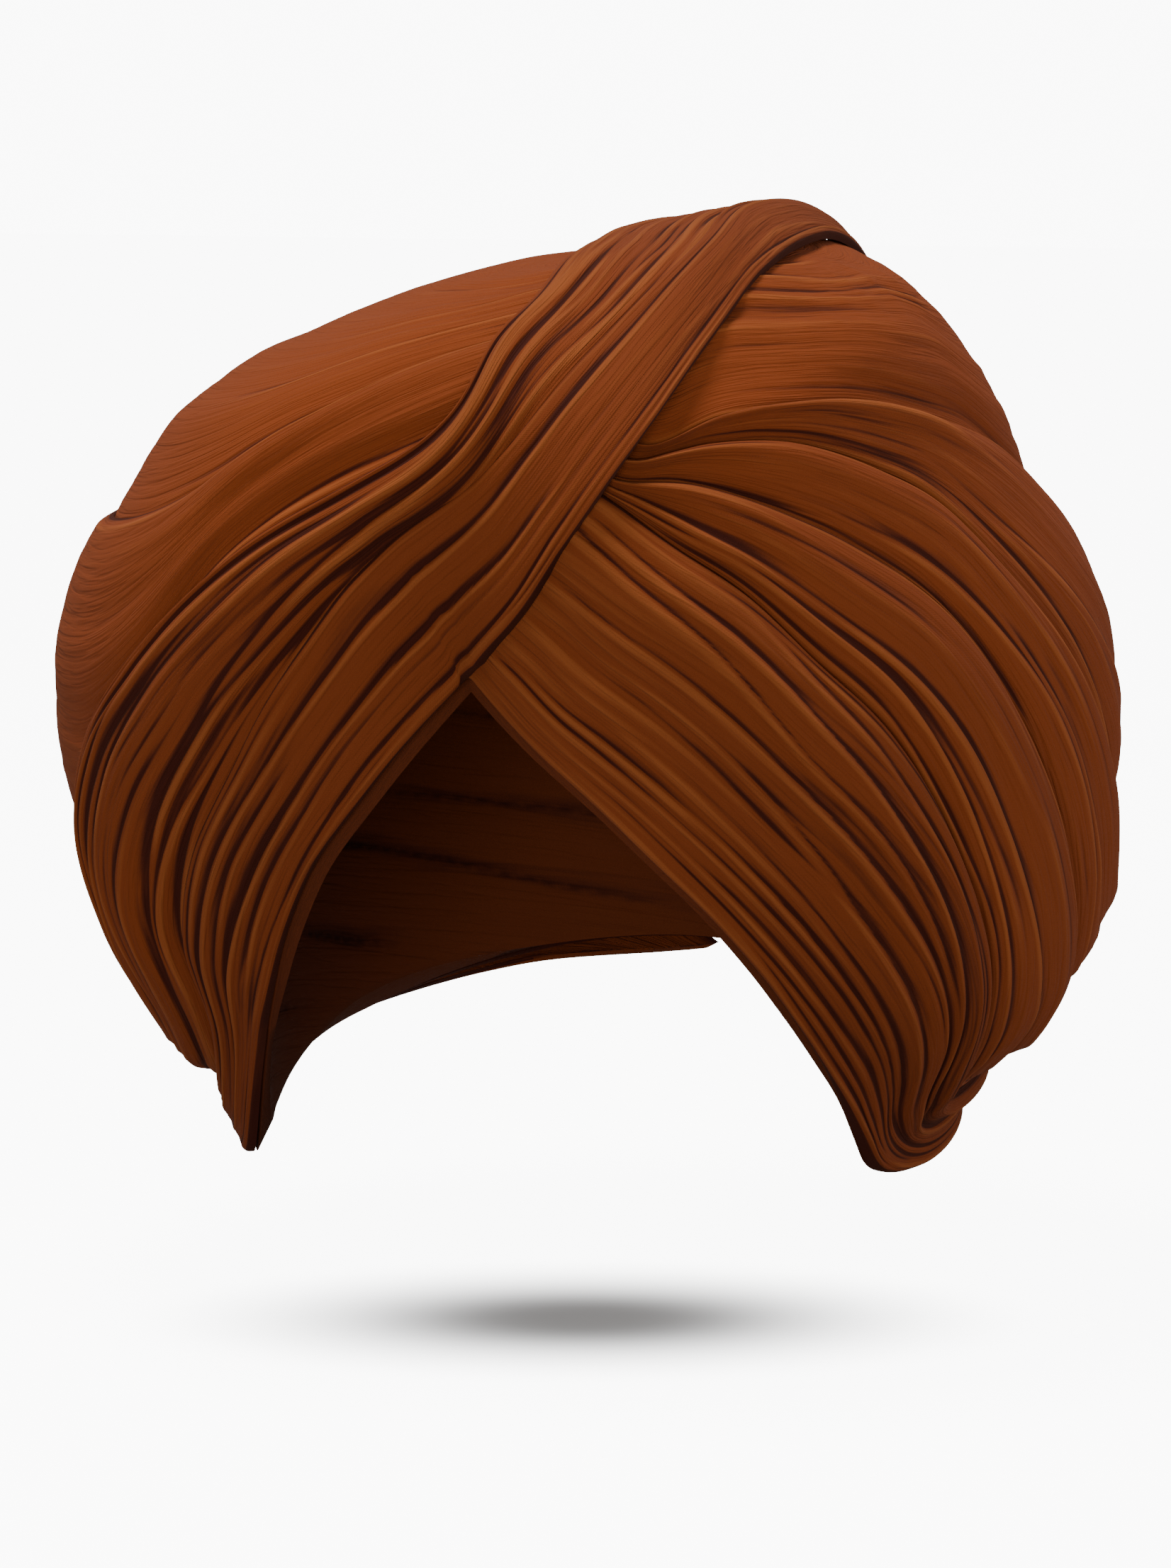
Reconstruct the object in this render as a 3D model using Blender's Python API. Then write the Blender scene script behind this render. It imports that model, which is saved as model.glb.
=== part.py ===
"""Turban: one long cotton cloth wound round the head in turns, crossed over the brow by a flat pleat.

Metres, +Z up. The wearer looks along -Y and the wearer's left is +X. The origin is the middle of the
head's hat-size ring, about 15 mm above the brow. Places on the turban are given as directions from
the origin: turn is the angle round the head from the front toward the wearer's left, and rise is the
angle above the ring, both in degrees.
"""

import math

import bpy
import numpy as np

# The head that the turban is wound for
HEAD_HALF_WIDTH = 0.080
HEAD_HALF_LENGTH = 0.099
HEAD_ROOF = 0.112

# The outside of the wound turban
HALF_WIDTH = 0.140
HALF_DEPTH = 0.137
CROWN_HEIGHT = 0.1605
DROP = 0.090

# The cloth: one folded ply of a turn, the room between two plies, the edge's thickness at the face, and
# how much more it is in the roll behind the ears
PLY = 0.0026
ROOM = 0.0009
EDGE = 0.0070
EAR_ROLL = 0.0160
FOLD_DEPTH = 0.0014
ROLL = 0.0045
CREASE = 0.0030

# Angles, in degrees
TUCK = 28.0
CROWN_TURN = 60.0
CROWN_RISE = 77.0
CROWN_OPENING = 6.0
PRESSED = 3.0
FREE = 12.0

# Shape of the level sections, and of how the layers share a turn's width
SQUARENESS = 2.15
EGG = 0.08
SHARP_ANGLE = 50.0
MARGIN = 0.15
STEP_START = 0.45
STEP_END = 0.85
ROUNDNESS = 0.6

PITCH = PLY + ROOM
MIDDLE_LEVEL = 0.5

# Sections from the ear tips to the top. Height is a share of DROP below the ring and of CROWN_HEIGHT
# above it; right and left (the wearer's) are shares of HALF_WIDTH, front and back of HALF_DEPTH.
SECTIONS = (
    # height, right, left, front, back
    (-1.00, 0.60, 0.56, 0.73, 0.76),
    (-0.83, 0.68, 0.70, 0.75, 0.82),
    (-0.56, 0.81, 0.84, 0.78, 0.93),
    (-0.22, 0.96, 0.92, 0.82, 1.04),
    (0.125, 1.05, 0.94, 0.86, 1.095),
    (0.343, 1.01, 0.90, 0.905, 1.08),
    (0.561, 0.87, 0.79, 0.905, 1.01),
    (0.748, 0.66, 0.67, 0.82, 0.86),
    (0.897, 0.26, 0.56, 0.57, 0.61),
    (0.972, -0.09, 0.43, 0.28, 0.38),
    (1.00, -0.26, 0.26, -0.06, 0.06),
)

# The lower edge, from the peak over the brow by the wearer's left ear, the nape and the right ear
RIM = (
    # turn, rise
    (-1, 28.0), (9, 19.2), (18, 11.6), (26, 4.0), (35, -4.7), (44, -14.1), (53, -23.4), (63, -32.3),
    (75, -40.5), (84, -44.3), (95, -43.3), (110, -38.3), (130, -31.8), (150, -26.6), (180, -23.5),
    (210, -26.6), (240, -32.1), (260, -37.1), (275, -40.3), (285, -41.9), (294, -41.8), (308, -30.6),
    (318, -21.1), (325, -12.1), (332, -2.8), (336, 2.0), (344, 10.5), (351, 18.7), (359, 28.0),
)

# Where the turns' upper edges lie, row by row round the head: first the rim's turn, then turn and
# rise of the upper edge of the left temple, lower side, middle side and upper side wraps, and last
# the level of the upper side wrap's edge, raised where the front cloth's tail is tucked under it.
WINDING = (
    # rim, left temple, lower side, middle side, upper side, level
    (-1, 15, 42.2, 16.5, 43.2, 18, 44.3, 19.5, 45.4, 1),
    (4, 20, 40.1, 22, 41.5, 24, 43.3, 26, 44.6, 1),
    (14, 28, 36.1, 31, 41.6, 34, 45.4, 36, 48.1, 1),
    (25, 37, 31.9, 42, 40.0, 46, 46.2, 50, 50.2, 1),
    (37, 46, 25.5, 53, 37.2, 60, 44.3, 65, 50.9, 1),
    (50, 56, 18.0, 66, 31.0, 72, 40.5, 82, 49.2, 1),
    (63, 65, 7.5, 77, 20.0, 85, 30.0, 98, 45.5, 1),
    (75, 74, -8.0, 87, 6.0, 96, 19.0, 112, 37.5, 1),
    (84, 83, -24.0, 95, -8.0, 104, 8.0, 124, 31.0, 1),
    (95, 93, -34.0, 101, -19.0, 111, -2.0, 136, 28.0, 1.2),
    (112, 112, -29.5, 114, -19.0, 122, -1.0, 148, 26.0, 2),
    (134, 134, -21.0, 134, -10.0, 139, 5.0, 160, 27.0, 2),
    (157, 157, -15.0, 157, -2.0, 159, 13.0, 172, 30.0, 2),
    (180, 180, -12.0, 180, 2.0, 181, 17.0, 185, 33.0, 1.4),
    (203, 203, -14.0, 202, 1.0, 202, 17.0, 201, 35.0, 1),
    (226, 226, -20.0, 225, -5.0, 225, 12.0, 221, 35.5, 1),
    (247, 247, -27.0, 247, -13.0, 247, 4.0, 244, 34.5, 1),
    (262, 263, -31.0, 264, -18.0, 266, -3.0, 268, 34.0, 1),
    (276, 277, -33.0, 280, -20.0, 284, -7.0, 290, 34.5, 1),
    (288, 289, -31.0, 293, -19.0, 299, -7.0, 309, 35.8, 1),
    (297, 297, -24.0, 303, -11.0, 311, 4.0, 325, 39.3, 1),
    (305, 304, -17.0, 312, 0.0, 326, 23.0, 340, 46.3, 1),
    (312, 311, -9.0, 320, 9.0, 342, 34.0, 356, 53.2, 1),
    (320, 318, -1.0, 328, 17.0, 358, 41.5, 376, 57.0, 1),
)

# The last turn, row by row from the nape by the right ear over the brow and the crown to its tail:
# turn and rise of the hem, of the valley between the flat pleats and the gathers, and of the
# gathers' upper edge, then the levels of the hem, of the band at the valley, of the gathers at the
# valley and of their upper edge.
FRONT = (
    # hem, valley, gathers, levels of hem, band, gathers low, gathers high
    (205, -26.1, 205, -26.1, 176, -23.6, 1, 1, 1, 1),
    (226, -29.4, 226, -29.4, 190, -15.0, 1, 1, 1, 2),
    (246, -33.6, 246, -33.6, 216, -12.0, 1, 1, 1, 2),
    (264, -38.1, 264, -38.1, 244, -17.0, 0.3, 0.3, 0.3, 2),
    (279, -41.0, 273, -37.0, 268, -23.0, 0, 1.2, 0, 2),
    (289, -42.0, 284, -36.5, 284, -24.0, 0, 1, 0, 2),
    (297, -40.0, 293, -33.0, 292, -17.0, 0, 1, 0, 2),
    (307, -31.5, 303, -24.0, 297.5, -7.0, 0, 1, 0, 2),
    (318, -21.1, 311, -10.5, 301.5, 5.0, 0, 1, 0, 2),
    (329, -6.8, 320, 2.5, 307, 14.0, 0, 1, 0, 1.4),
    (340, 6.2, 331, 15.3, 316.5, 22.0, 0, 1, 0, 1),
    (350, 17.5, 341, 27.0, 330, 31.3, 0, 1, 0, 1),
    (359, 28.0, 353, 36.0, 347.5, 40.4, 1, 1.1, 0, 1.3),
    (371, 33.8, 365, 43.2, 360, 47.0, 2, 1.2, 0, 2),
    (382.5, 43.5, 374, 49.0, 364.5, 53.8, 2, 1.6, 0.6, 2),
    (396, 54.9, 385, 57.4, 369, 62.0, 2, 2, 1, 1.3),
    (413, 63.5, 402, 66.5, 372, 74.0, 1, 2, 1, 1),
    (441, 68.5, 437, 75.0, 405, 86.5, 1, 2, 1, 1),
    (481, 66.0, 491, 69.5, 522.5, 75.0, 1, 2, 1, 1),
    (502, 55.0, 510, 57.0, 524.5, 60.0, 1, 2, 1, 1),
    (511, 42.3, 517, 43.0, 526.5, 44.0, 1, 1, 1, 1),
    (512.5, 31.0, 518, 31.3, 528.5, 32.0, 1, 1, 1, 1),
    (513, 24.0, 518.5, 24.3, 529, 25.0, 1, 1, 1, 1),
)
# The rows where the last turn reaches the peak and its tail begins, where it first lies on the lower
# edge and its flat pleats begin, and the winding's rows where the left temple wrap and the side
# wraps end
PEAK_ROW = 12
TAIL_ROW = 18
TAIL_ROOM = -0.06
RIGHT_FIRST = 3
BAND_FIRST = 3.6
LEFT_LAST = 16
SIDE_LAST = 20
TOP_LAST = len(WINDING) - 1

# The winding's rows at the wearer's left, at the back and on the right, where rolls are given
ROLL_ROWS = (5, 13, 19)

# Colours of the cloth where the light falls on it and where it lies deep
CLOTH_TOP = (0.255, 0.080, 0.024, 1.0)
CLOTH_MIDDLE = (0.190, 0.052, 0.013, 1.0)
CLOTH_DEEP = (0.105, 0.025, 0.006, 1.0)
CLOTH_ROUGHNESS = 0.85

# Where the lower edge is a thicker roll, behind each ear, by turn
EAR_ROLLS = (
    # start, full, fade, end
    (80, 111, 130, 172),
    (190, 235, 262, 310),
)

# How finely the strips, the inner turns and the curves of the tables are divided, how many directions
# are handled at once, and how the skin's slope is felt: by a small step, on axes square to a line that
# no point lies on
ROWS_SPLIT = 2
INNER_ROWS = 9
INNER_SPACING = 1.5
BATCH = 12000
HALVINGS = 26
RIM_SPLIT = 12
SECTION_STEPS = 2000
FRONT_SPLIT = 3
FRONT_COLUMNS = 11
PROBE = 0.004
SMALLEST = 0.0001
SLANTED = np.array([0.013, 0.027, 1.0])


def clear_scene():
    for old in list(bpy.data.objects):
        bpy.data.objects.remove(old, do_unlink=True)


def spline(rows, at, flat_end=False):
    """A smooth curve through the rows of a table, read at fractional row numbers."""
    rows = np.asarray(rows, float)
    slope = np.gradient(rows, axis=0)
    if flat_end:
        slope[-1] = 0.0
    at = np.clip(np.asarray(at, float), 0, len(rows) - 1)
    row = np.minimum(at.astype(int), len(rows) - 2)
    t = (at - row)[..., None]
    start, end = rows[row], rows[row + 1]
    return (
        (2 * t**3 - 3 * t**2 + 1) * start
        + (t**3 - 2 * t**2 + t) * slope[row]
        + (3 * t**2 - 2 * t**3) * end
        + (t**3 - t**2) * slope[row + 1]
    )


def smooth_step(value):
    value = np.clip(value, 0.0, 1.0)
    return value * value * (3 - 2 * value)


def unit(vectors):
    return vectors / np.linalg.norm(vectors, axis=-1, keepdims=True)


def direction(turn, rise):
    turn, rise = np.radians(turn), np.radians(rise)
    level = np.cos(rise)
    return np.stack([np.sin(turn) * level, -np.cos(turn) * level, np.sin(rise)], -1)


def line_of(rows, column, at):
    """Directions along one line of a table whose turn and rise start at this column."""
    table = np.asarray(rows, float)
    return unit(spline(direction(table[:, column], table[:, column + 1]), at))


def section_curves():
    """Height, middles and half sizes of the level sections, finely along the form."""
    table = np.asarray(SECTIONS, float)
    heights = np.where(table[:, 0] > 0, CROWN_HEIGHT, DROP) * table[:, 0]
    sizes = table[:, 1:] * np.array([HALF_WIDTH, HALF_WIDTH, HALF_DEPTH, HALF_DEPTH])
    at = np.linspace(0, len(table) - 1, SECTION_STEPS + 1)
    height = np.maximum.accumulate(spline(heights[:, None], at, True)[:, 0])
    right, left, front, back = spline(sizes, at).T
    return height, (left - right) / 2, (left + right) / 2, (back - front) / 2, (back + front) / 2


CURVES = section_curves()


def in_form(points):
    """Whether points lie inside the outer form, a stack of rounded level sections."""
    height, middle_x, half_x, middle_y, half_y = CURVES
    z = points[..., 2]
    across = np.maximum(np.interp(z, height, half_x), SMALLEST)
    along = np.maximum(np.interp(z, height, half_y), SMALLEST)
    v = (points[..., 1] - np.interp(z, height, middle_y)) / along
    u = (points[..., 0] - np.interp(z, height, middle_x)) / (across * (1 + EGG * np.clip(v, -1, 1)))
    return (np.abs(u) ** SQUARENESS + np.abs(v) ** SQUARENESS < 1) & (z < height[-1])


def form_radius(ways):
    """How far the outer form reaches in each direction, found by halving."""
    near = np.zeros(ways.shape[:-1])
    far = np.full(ways.shape[:-1], HALF_WIDTH + HALF_DEPTH + CROWN_HEIGHT)
    for _ in range(HALVINGS):
        middle = (near + far) / 2
        inside = in_form(ways * middle[..., None])
        near = np.where(inside, middle, near)
        far = np.where(inside, far, middle)
    return (near + far) / 2


def head_radius(ways):
    """The head hollow: a half ellipsoid above the ring on a straight oval wall below it."""
    up = np.maximum(ways[..., 2], 0.0) / HEAD_ROOF
    return 1 / np.sqrt((ways[..., 0] / HEAD_HALF_WIDTH) ** 2 + (ways[..., 1] / HEAD_HALF_LENGTH) ** 2 + up**2)


RIM_TURNS, RIM_RISES = spline(RIM, np.linspace(0, len(RIM) - 1, RIM_SPLIT * (len(RIM) - 1) + 1)).T
RIM_WAYS = direction(RIM_TURNS[:-1], RIM_RISES[:-1])
RIM_START = RIM[0][0]


def rim_rise(turn):
    return np.interp((np.asarray(turn, float) - RIM_START) % 360 + RIM_START, RIM_TURNS, RIM_RISES)


def rim_way(turn):
    """Directions on the lower edge. The peak belongs to both ends of the table."""
    return direction(turn, np.interp(turn, RIM_TURNS, RIM_RISES))


def nearest_spot(ways, line):
    """For each direction, the number of the line's nearest point."""
    parts = np.array_split(ways.reshape(-1, 3), 1 + ways.size // BATCH)
    return np.concatenate([(part @ line.T).argmax(1) for part in parts]).reshape(ways.shape[:-1])


def from_segment(ways, start, end):
    """How far directions lie from a short straight stretch, in radians."""
    along = end - start
    share = ((ways - start) * along).sum(-1) / (along * along).sum(-1)
    return np.linalg.norm(ways - start - along * np.clip(share, 0, 1)[..., None], axis=-1)


def from_rim(ways):
    """How far a direction lies above the lower edge, as a share of the tuck's angle, at most 1."""
    count = len(RIM_WAYS)
    spot = nearest_spot(ways, RIM_WAYS)
    middle = RIM_WAYS[spot]
    before = from_segment(ways, RIM_WAYS[(spot - 1) % count], middle)
    after = from_segment(ways, middle, RIM_WAYS[(spot + 1) % count])
    angle = np.degrees(np.minimum(before, after))
    turn = np.degrees(np.arctan2(ways[..., 0], -ways[..., 1]))
    rise = np.degrees(np.arcsin(np.clip(ways[..., 2], -1, 1)))
    return np.clip(angle / TUCK, 0, 1) * np.where(rise > rim_rise(turn), 1, -1)


def ear_roll(ways):
    """How much of the roll behind the ears thickens the lower edge in each direction."""
    turn = np.degrees(np.arctan2(ways[..., 0], -ways[..., 1])) % 360
    share = np.zeros(turn.shape)
    for start, full, fade, end in EAR_ROLLS:
        share += smooth_step((turn - start) / (full - start)) * smooth_step((end - turn) / (end - fade))
    return share


def skin_radius(ways):
    """The smooth surface that the turns lie on, drawn in to the head along the lower edge."""
    low = head_radius(ways) + EDGE + EAR_ROLL * ear_roll(ways)
    above = from_rim(ways)
    share = np.where(above > 0, 1 - (1 - above) ** 2, 2 * above)
    return low + (np.maximum(form_radius(ways), low) - low) * share


def place(ways, height):
    """Points at a height above the skin, measured square to it."""
    side = unit(np.cross(ways, SLANTED))
    up = np.cross(side, ways)
    sides = [unit(ways + PROBE * way) for way in (side, -side, up, -up)]
    east, west, north, south = [way * skin_radius(way)[..., None] for way in sides]
    normal = unit(np.cross(east - west, north - south))
    normal *= np.sign((normal * ways).sum(-1))[..., None]
    return ways * skin_radius(ways)[..., None] + normal * height[..., None]


def between(low, high, share):
    return unit(low[:, None] * (1 - share[None, :, None]) + high[:, None] * share[None, :, None])


def strip_faces(rows, columns):
    """Faces of a closed strip: its outer grid, its inner grid and the four edges between them."""
    count = (rows + 1) * (columns + 1)

    def spot(row, column, inner=0):
        return inner * count + row * (columns + 1) + column

    faces = []
    for row in range(rows):
        for column in range(columns):
            corners = ((row, column), (row + 1, column), (row + 1, column + 1), (row, column + 1))
            faces.append([spot(*corner) for corner in corners])
            faces.append([spot(*corner, 1) for corner in reversed(corners)])
    ring = [(0, column) for column in range(columns)]
    ring += [(row, columns) for row in range(rows)]
    ring += [(rows, column) for column in range(columns, 0, -1)]
    ring += [(row, 0) for row in range(rows, 0, -1)]
    for start, end in zip(ring, ring[1:] + ring[:1]):
        faces.append([spot(*start), spot(*end), spot(*end, 1), spot(*start, 1)])
    return faces


def cloth_material(name, colour):
    material = bpy.data.materials.new(name)
    material.use_nodes = True
    shader = material.node_tree.nodes["Principled BSDF"]
    shader.inputs["Base Color"].default_value = colour
    shader.inputs["Roughness"].default_value = CLOTH_ROUGHNESS
    shader.inputs["Metallic"].default_value = 0.0
    return material


def add_mesh(name, points, faces, colour):
    mesh = bpy.data.meshes.new(name)
    mesh.from_pydata([tuple(point) for point in points.reshape(-1, 3)], [], faces)
    mesh.validate()
    mesh.shade_smooth()
    mesh.set_sharp_from_angle(angle=math.radians(SHARP_ANGLE))
    mesh.materials.append(cloth_material(name + "_cloth", colour))
    piece = bpy.data.objects.new(name, mesh)
    bpy.context.scene.collection.objects.link(piece)
    return piece


def add_strip(name, ways, height, folds, colour):
    """A turn of cloth: one folded ply thick, its outer side pressed in along every other column."""
    rows, columns = ways.shape[0] - 1, ways.shape[1] - 1
    outer = place(ways, height - folds)
    inner = place(ways, height - PLY)
    faces = strip_faces(rows, columns)
    mesh_points = np.concatenate([outer.reshape(-1, 3), inner.reshape(-1, 3)])
    return add_mesh(name, mesh_points, facing_out(mesh_points, faces), colour)


def facing_out(points, faces):
    """The faces, turned round if they enclose the solid inside out."""
    volume = 0.0
    for face in faces:
        for second, third in zip(face[1:], face[2:]):
            volume += float(np.dot(points[face[0]], np.cross(points[second], points[third])))
    return faces if volume > 0 else [face[::-1] for face in faces]


def fold_depths(rows, columns):
    """Ridges and grooves along the strip, with plain edges."""
    grooves = np.where(np.arange(columns + 1) % 2 == 1, FOLD_DEPTH, 0.0)
    grooves[[0, -1]] = 0.0
    return np.tile(grooves, (rows + 1, 1))


def winding_line(line, at):
    """Directions of one line of the winding: 0 is the rim, 4 the upper side wrap's edge, 5 the crown."""
    if line == 0:
        return rim_way(spline(np.asarray(WINDING)[:, :1], at)[:, 0])
    if line == 5:
        edge = line_of(WINDING, 7, at)
        centre = direction(CROWN_TURN, CROWN_RISE)
        apart = np.arccos(np.clip(edge @ centre, -1, 1))[:, None]
        share = math.radians(CROWN_OPENING) / apart
        return unit(centre * np.sin((1 - share) * apart) + edge * np.sin(share * apart))
    return line_of(WINDING, 2 * line - 1, at)


def add_winding(name, line, last, shares, rolls, colour):
    """A turn from one line of the winding to the next, tucked under the turn below it.

    rolls are how far it swells on the wearer's left, at the back and on the right, as shares of ROLL.
    """
    at = table_rows(0, last)
    low, high = winding_line(line, at), winding_line(line + 1, at)
    ways = between(low, high, shares)
    if line > 0:
        under = unit(low + MARGIN * (winding_line(line - 1, at) - low))
        ways[:, 0] = under
        ways[:, 1] = low
    across = np.clip(shares, 0, 1)[None, :]
    top_level = spline(np.asarray(WINDING)[:, 9:], at) if line == 3 else np.where(line == 4, 0.0, 1.0)
    sooner = (top_level - 1) * (STEP_END - STEP_START) if line == 3 else 0.0
    level = top_level * smooth_step((across + sooner - STEP_START) / (STEP_END - STEP_START))
    swell = np.sin(math.pi * across) ** ROUNDNESS
    roll = ROLL * np.interp(at, ROLL_ROWS, rolls)[:, None] * from_front(ways)
    sink = CREASE * np.clip(from_rim(ways), 0, 1) * (1 - np.clip(level - 1, 0, 1))
    height = (level - MIDDLE_LEVEL) * PITCH + roll * swell - sink * (1 - swell)
    folds = fold_depths(len(at) - 1, len(shares) - 1)
    return add_strip(name, ways, height, folds, colour)


def hem_way(at):
    """The last turn's hem: on the lower edge up to the peak, then free over the brow and the crown."""
    table = np.asarray(FRONT, float)
    on_rim = rim_way(spline(table[:, :1], at)[:, 0])
    free = line_of(FRONT, 0, at)
    return np.where((at <= PEAK_ROW)[:, None], on_rim, free)


def front_ways():
    """Directions all over the last turn, from its hem to the gathers' upper edge."""
    at = np.linspace(0, len(FRONT) - 1, FRONT_SPLIT * (len(FRONT) - 1) + 1)
    return between(hem_way(at), line_of(FRONT, 4, at), even(FRONT_COLUMNS))


def from_front(ways):
    """0 where the last turn presses on the turns below it, rising to 1 a little way off."""
    over = front_ways().reshape(-1, 3)
    apart = ways - over[nearest_spot(ways, over)]
    angle = np.degrees(np.linalg.norm(apart, axis=-1))
    return smooth_step((angle - PRESSED) / (FREE - PRESSED))


def add_band(name, shares, colour):
    """The flat pleats along the hem, from behind the right ear over the brow and the crown."""
    at = table_rows(BAND_FIRST, len(FRONT) - 1)
    ways = between(hem_way(at), line_of(FRONT, 2, at), shares)
    levels = spline(np.asarray(FRONT, float)[:, 6:8], at)
    share = smooth_step(shares / STEP_END)[None, :]
    height = (levels[:, :1] * (1 - share) + levels[:, 1:] * share - MIDDLE_LEVEL) * PITCH
    folds = fold_depths(len(at) - 1, len(shares) - 1)
    return add_strip(name, ways, height, folds, colour)


def add_gathers(name, shares, colour):
    """The gathered part of the last turn, from the nape over the right temple and the crown."""
    at = table_rows(0, len(FRONT) - 1)
    hem, valley, top = hem_way(at), line_of(FRONT, 2, at), line_of(FRONT, 4, at)
    on_rim = (at <= RIGHT_FIRST)[:, None]
    valley = np.where(on_rim, hem, valley)
    under = np.interp(at, (TAIL_ROW - 1, TAIL_ROW + 1), (MARGIN, TAIL_ROOM))[:, None]
    low = unit(valley + under * (hem - valley))
    ways = between(low, top, shares)
    levels = spline(np.asarray(FRONT, float)[:, 8:10], at)
    share = smooth_step((shares - MARGIN) / (STEP_START - MARGIN))[None, :]
    height = (levels[:, :1] * (1 - share) + levels[:, 1:] * share - MIDDLE_LEVEL) * PITCH
    folds = fold_depths(len(at) - 1, len(shares) - 1)
    return add_strip(name, ways, height, folds, colour)


def inner_depth(ways):
    """How far below the skin the turns wound first end, clear of the lowest level of the others."""
    return (1 + MIDDLE_LEVEL) * PITCH + (CREASE + 3 * ROOM) * np.clip(from_rim(ways), 0, 1)


def table_rows(first, last):
    """Row numbers of a table, with those that ROWS_SPLIT puts between them."""
    return np.linspace(first, last, ROWS_SPLIT * math.ceil(last - first) + 1)


def add_inner_turns(colour):
    """The turns wound first: a thick cap with the head's hollow in it, closed round the lower edge."""
    left = spline(np.asarray(WINDING)[:, :1], table_rows(0, LEFT_LAST))[:, 0]
    right = spline(np.asarray(FRONT)[:, :1], table_rows(RIGHT_FIRST, PEAK_ROW))[:-1, 0]
    turns = np.concatenate([left, right])
    columns = len(turns)
    rims = rim_rise(turns)
    lift = (np.arange(INNER_ROWS) / INNER_ROWS) ** INNER_SPACING
    rises = rims[:, None] + (90 - rims[:, None]) * lift[None, :]
    ways = direction(np.repeat(turns[:, None], INNER_ROWS, 1), rises)
    outer = place(ways, -inner_depth(ways))
    inner = ways * head_radius(ways)[..., None]
    top = np.array([[0.0, 0.0, 1.0]])
    outer_top = top * (skin_radius(top) - inner_depth(top))[:, None]
    inner_top = top * HEAD_ROOF
    points = np.concatenate([outer.reshape(-1, 3), inner.reshape(-1, 3), outer_top, inner_top])
    count = columns * INNER_ROWS
    faces = []
    for column in range(columns):
        here, there = column * INNER_ROWS, (column + 1) % columns * INNER_ROWS
        for row in range(INNER_ROWS - 1):
            quad = [here + row, there + row, there + row + 1, here + row + 1]
            faces.append(quad)
            faces.append([count + corner for corner in reversed(quad)])
        crown = INNER_ROWS - 1
        faces.append([here + crown, there + crown, 2 * count])
        faces.append([count + there + crown, count + here + crown, 2 * count + 1])
        faces.append([there, here, count + here, count + there])
    return add_mesh("inner_turns", points, facing_out(points, faces), colour)


def even(columns):
    return np.linspace(0, 1, columns + 1)


def from_edge(columns):
    """Shares of a width that start close together, for a strip whose first edge bends round the rim."""
    return 1 - np.cos(np.linspace(0, math.pi / 2, columns + 1))


def tucked(columns):
    """Shares of a turn's width with one more column tucked under the turn below."""
    return np.concatenate([[-MARGIN], even(columns)])


def build():
    clear_scene()
    add_inner_turns(CLOTH_DEEP)
    add_winding("left_temple_wrap", 0, LEFT_LAST, from_edge(9), (0.5, 0.2, 0.0), CLOTH_MIDDLE)
    add_winding("lower_side_wrap", 1, SIDE_LAST, tucked(5), (0.6, 0.4, 0.0), CLOTH_MIDDLE)
    add_winding("middle_side_wrap", 2, SIDE_LAST, tucked(5), (0.8, 0.6, 0.0), CLOTH_TOP)
    add_winding("upper_side_wrap", 3, TOP_LAST, tucked(7), (0.9, 0.6, 0.0), CLOTH_TOP)
    add_winding("crown_wrap", 4, TOP_LAST, tucked(7), (1.0, 0.7, 0.4), CLOTH_TOP)
    add_gathers("right_temple_wrap", even(9), CLOTH_MIDDLE)
    add_band("front_band", from_edge(7), CLOTH_MIDDLE)


build()
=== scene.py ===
"""Turban, as a Blender add-on: one long cotton voile cloth wound round the head in pleated turns.

Metres, +Z up. The wearer looks along -Y and the wearer's left is +X. The origin is the middle of the
head's hat-size ring. Places on the turban are directions from it: turn is the angle round the head
from the front toward the wearer's left, and rise is the angle above the ring, both in degrees.
"""

import math

import bpy
import numpy as np
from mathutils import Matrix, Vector


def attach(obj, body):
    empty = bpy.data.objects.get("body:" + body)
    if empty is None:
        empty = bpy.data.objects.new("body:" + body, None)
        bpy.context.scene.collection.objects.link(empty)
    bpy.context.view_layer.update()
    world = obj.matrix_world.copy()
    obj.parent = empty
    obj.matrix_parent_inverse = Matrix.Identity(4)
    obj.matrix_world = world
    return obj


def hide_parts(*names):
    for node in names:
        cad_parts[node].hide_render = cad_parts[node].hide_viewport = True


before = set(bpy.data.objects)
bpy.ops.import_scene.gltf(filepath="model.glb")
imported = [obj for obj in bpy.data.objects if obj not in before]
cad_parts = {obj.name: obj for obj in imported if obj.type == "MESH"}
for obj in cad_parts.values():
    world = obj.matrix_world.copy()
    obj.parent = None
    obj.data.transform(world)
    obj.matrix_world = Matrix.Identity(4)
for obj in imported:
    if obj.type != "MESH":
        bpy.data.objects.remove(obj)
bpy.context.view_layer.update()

bl_info = {
    "name": "Pleated turban",
    "version": (1, 0, 0),
    "blender": (4, 5, 0),
    "location": "3D View > Sidebar > Turban",
    "description": "Winds a pleated cotton turban turn by turn, with its cloth, light and camera",
    "category": "Add Mesh",
}

# The head that the turban is wound for, and the outside of the wound turban
HEAD_HALF_WIDTH = 0.080
HEAD_HALF_LENGTH = 0.099
HEAD_ROOF = 0.112
HALF_WIDTH = 0.140
HALF_DEPTH = 0.137
CROWN_HEIGHT = 0.1605
DROP = 0.090

# The cloth: one folded ply of a turn, the room between two plies, the edge's thickness at the face and
# how much more it is in the roll behind the ears, how far a turn swells out between its edges, how far
# it sinks by them, and the level at which a turn lies on the skin
PLY = 0.0026
ROOM = 0.0009
EDGE = 0.0070
EAR_ROLL = 0.0160
ROLL = 0.0045
CREASE = 0.0030
PITCH = PLY + ROOM
MIDDLE_LEVEL = 0.5

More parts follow.
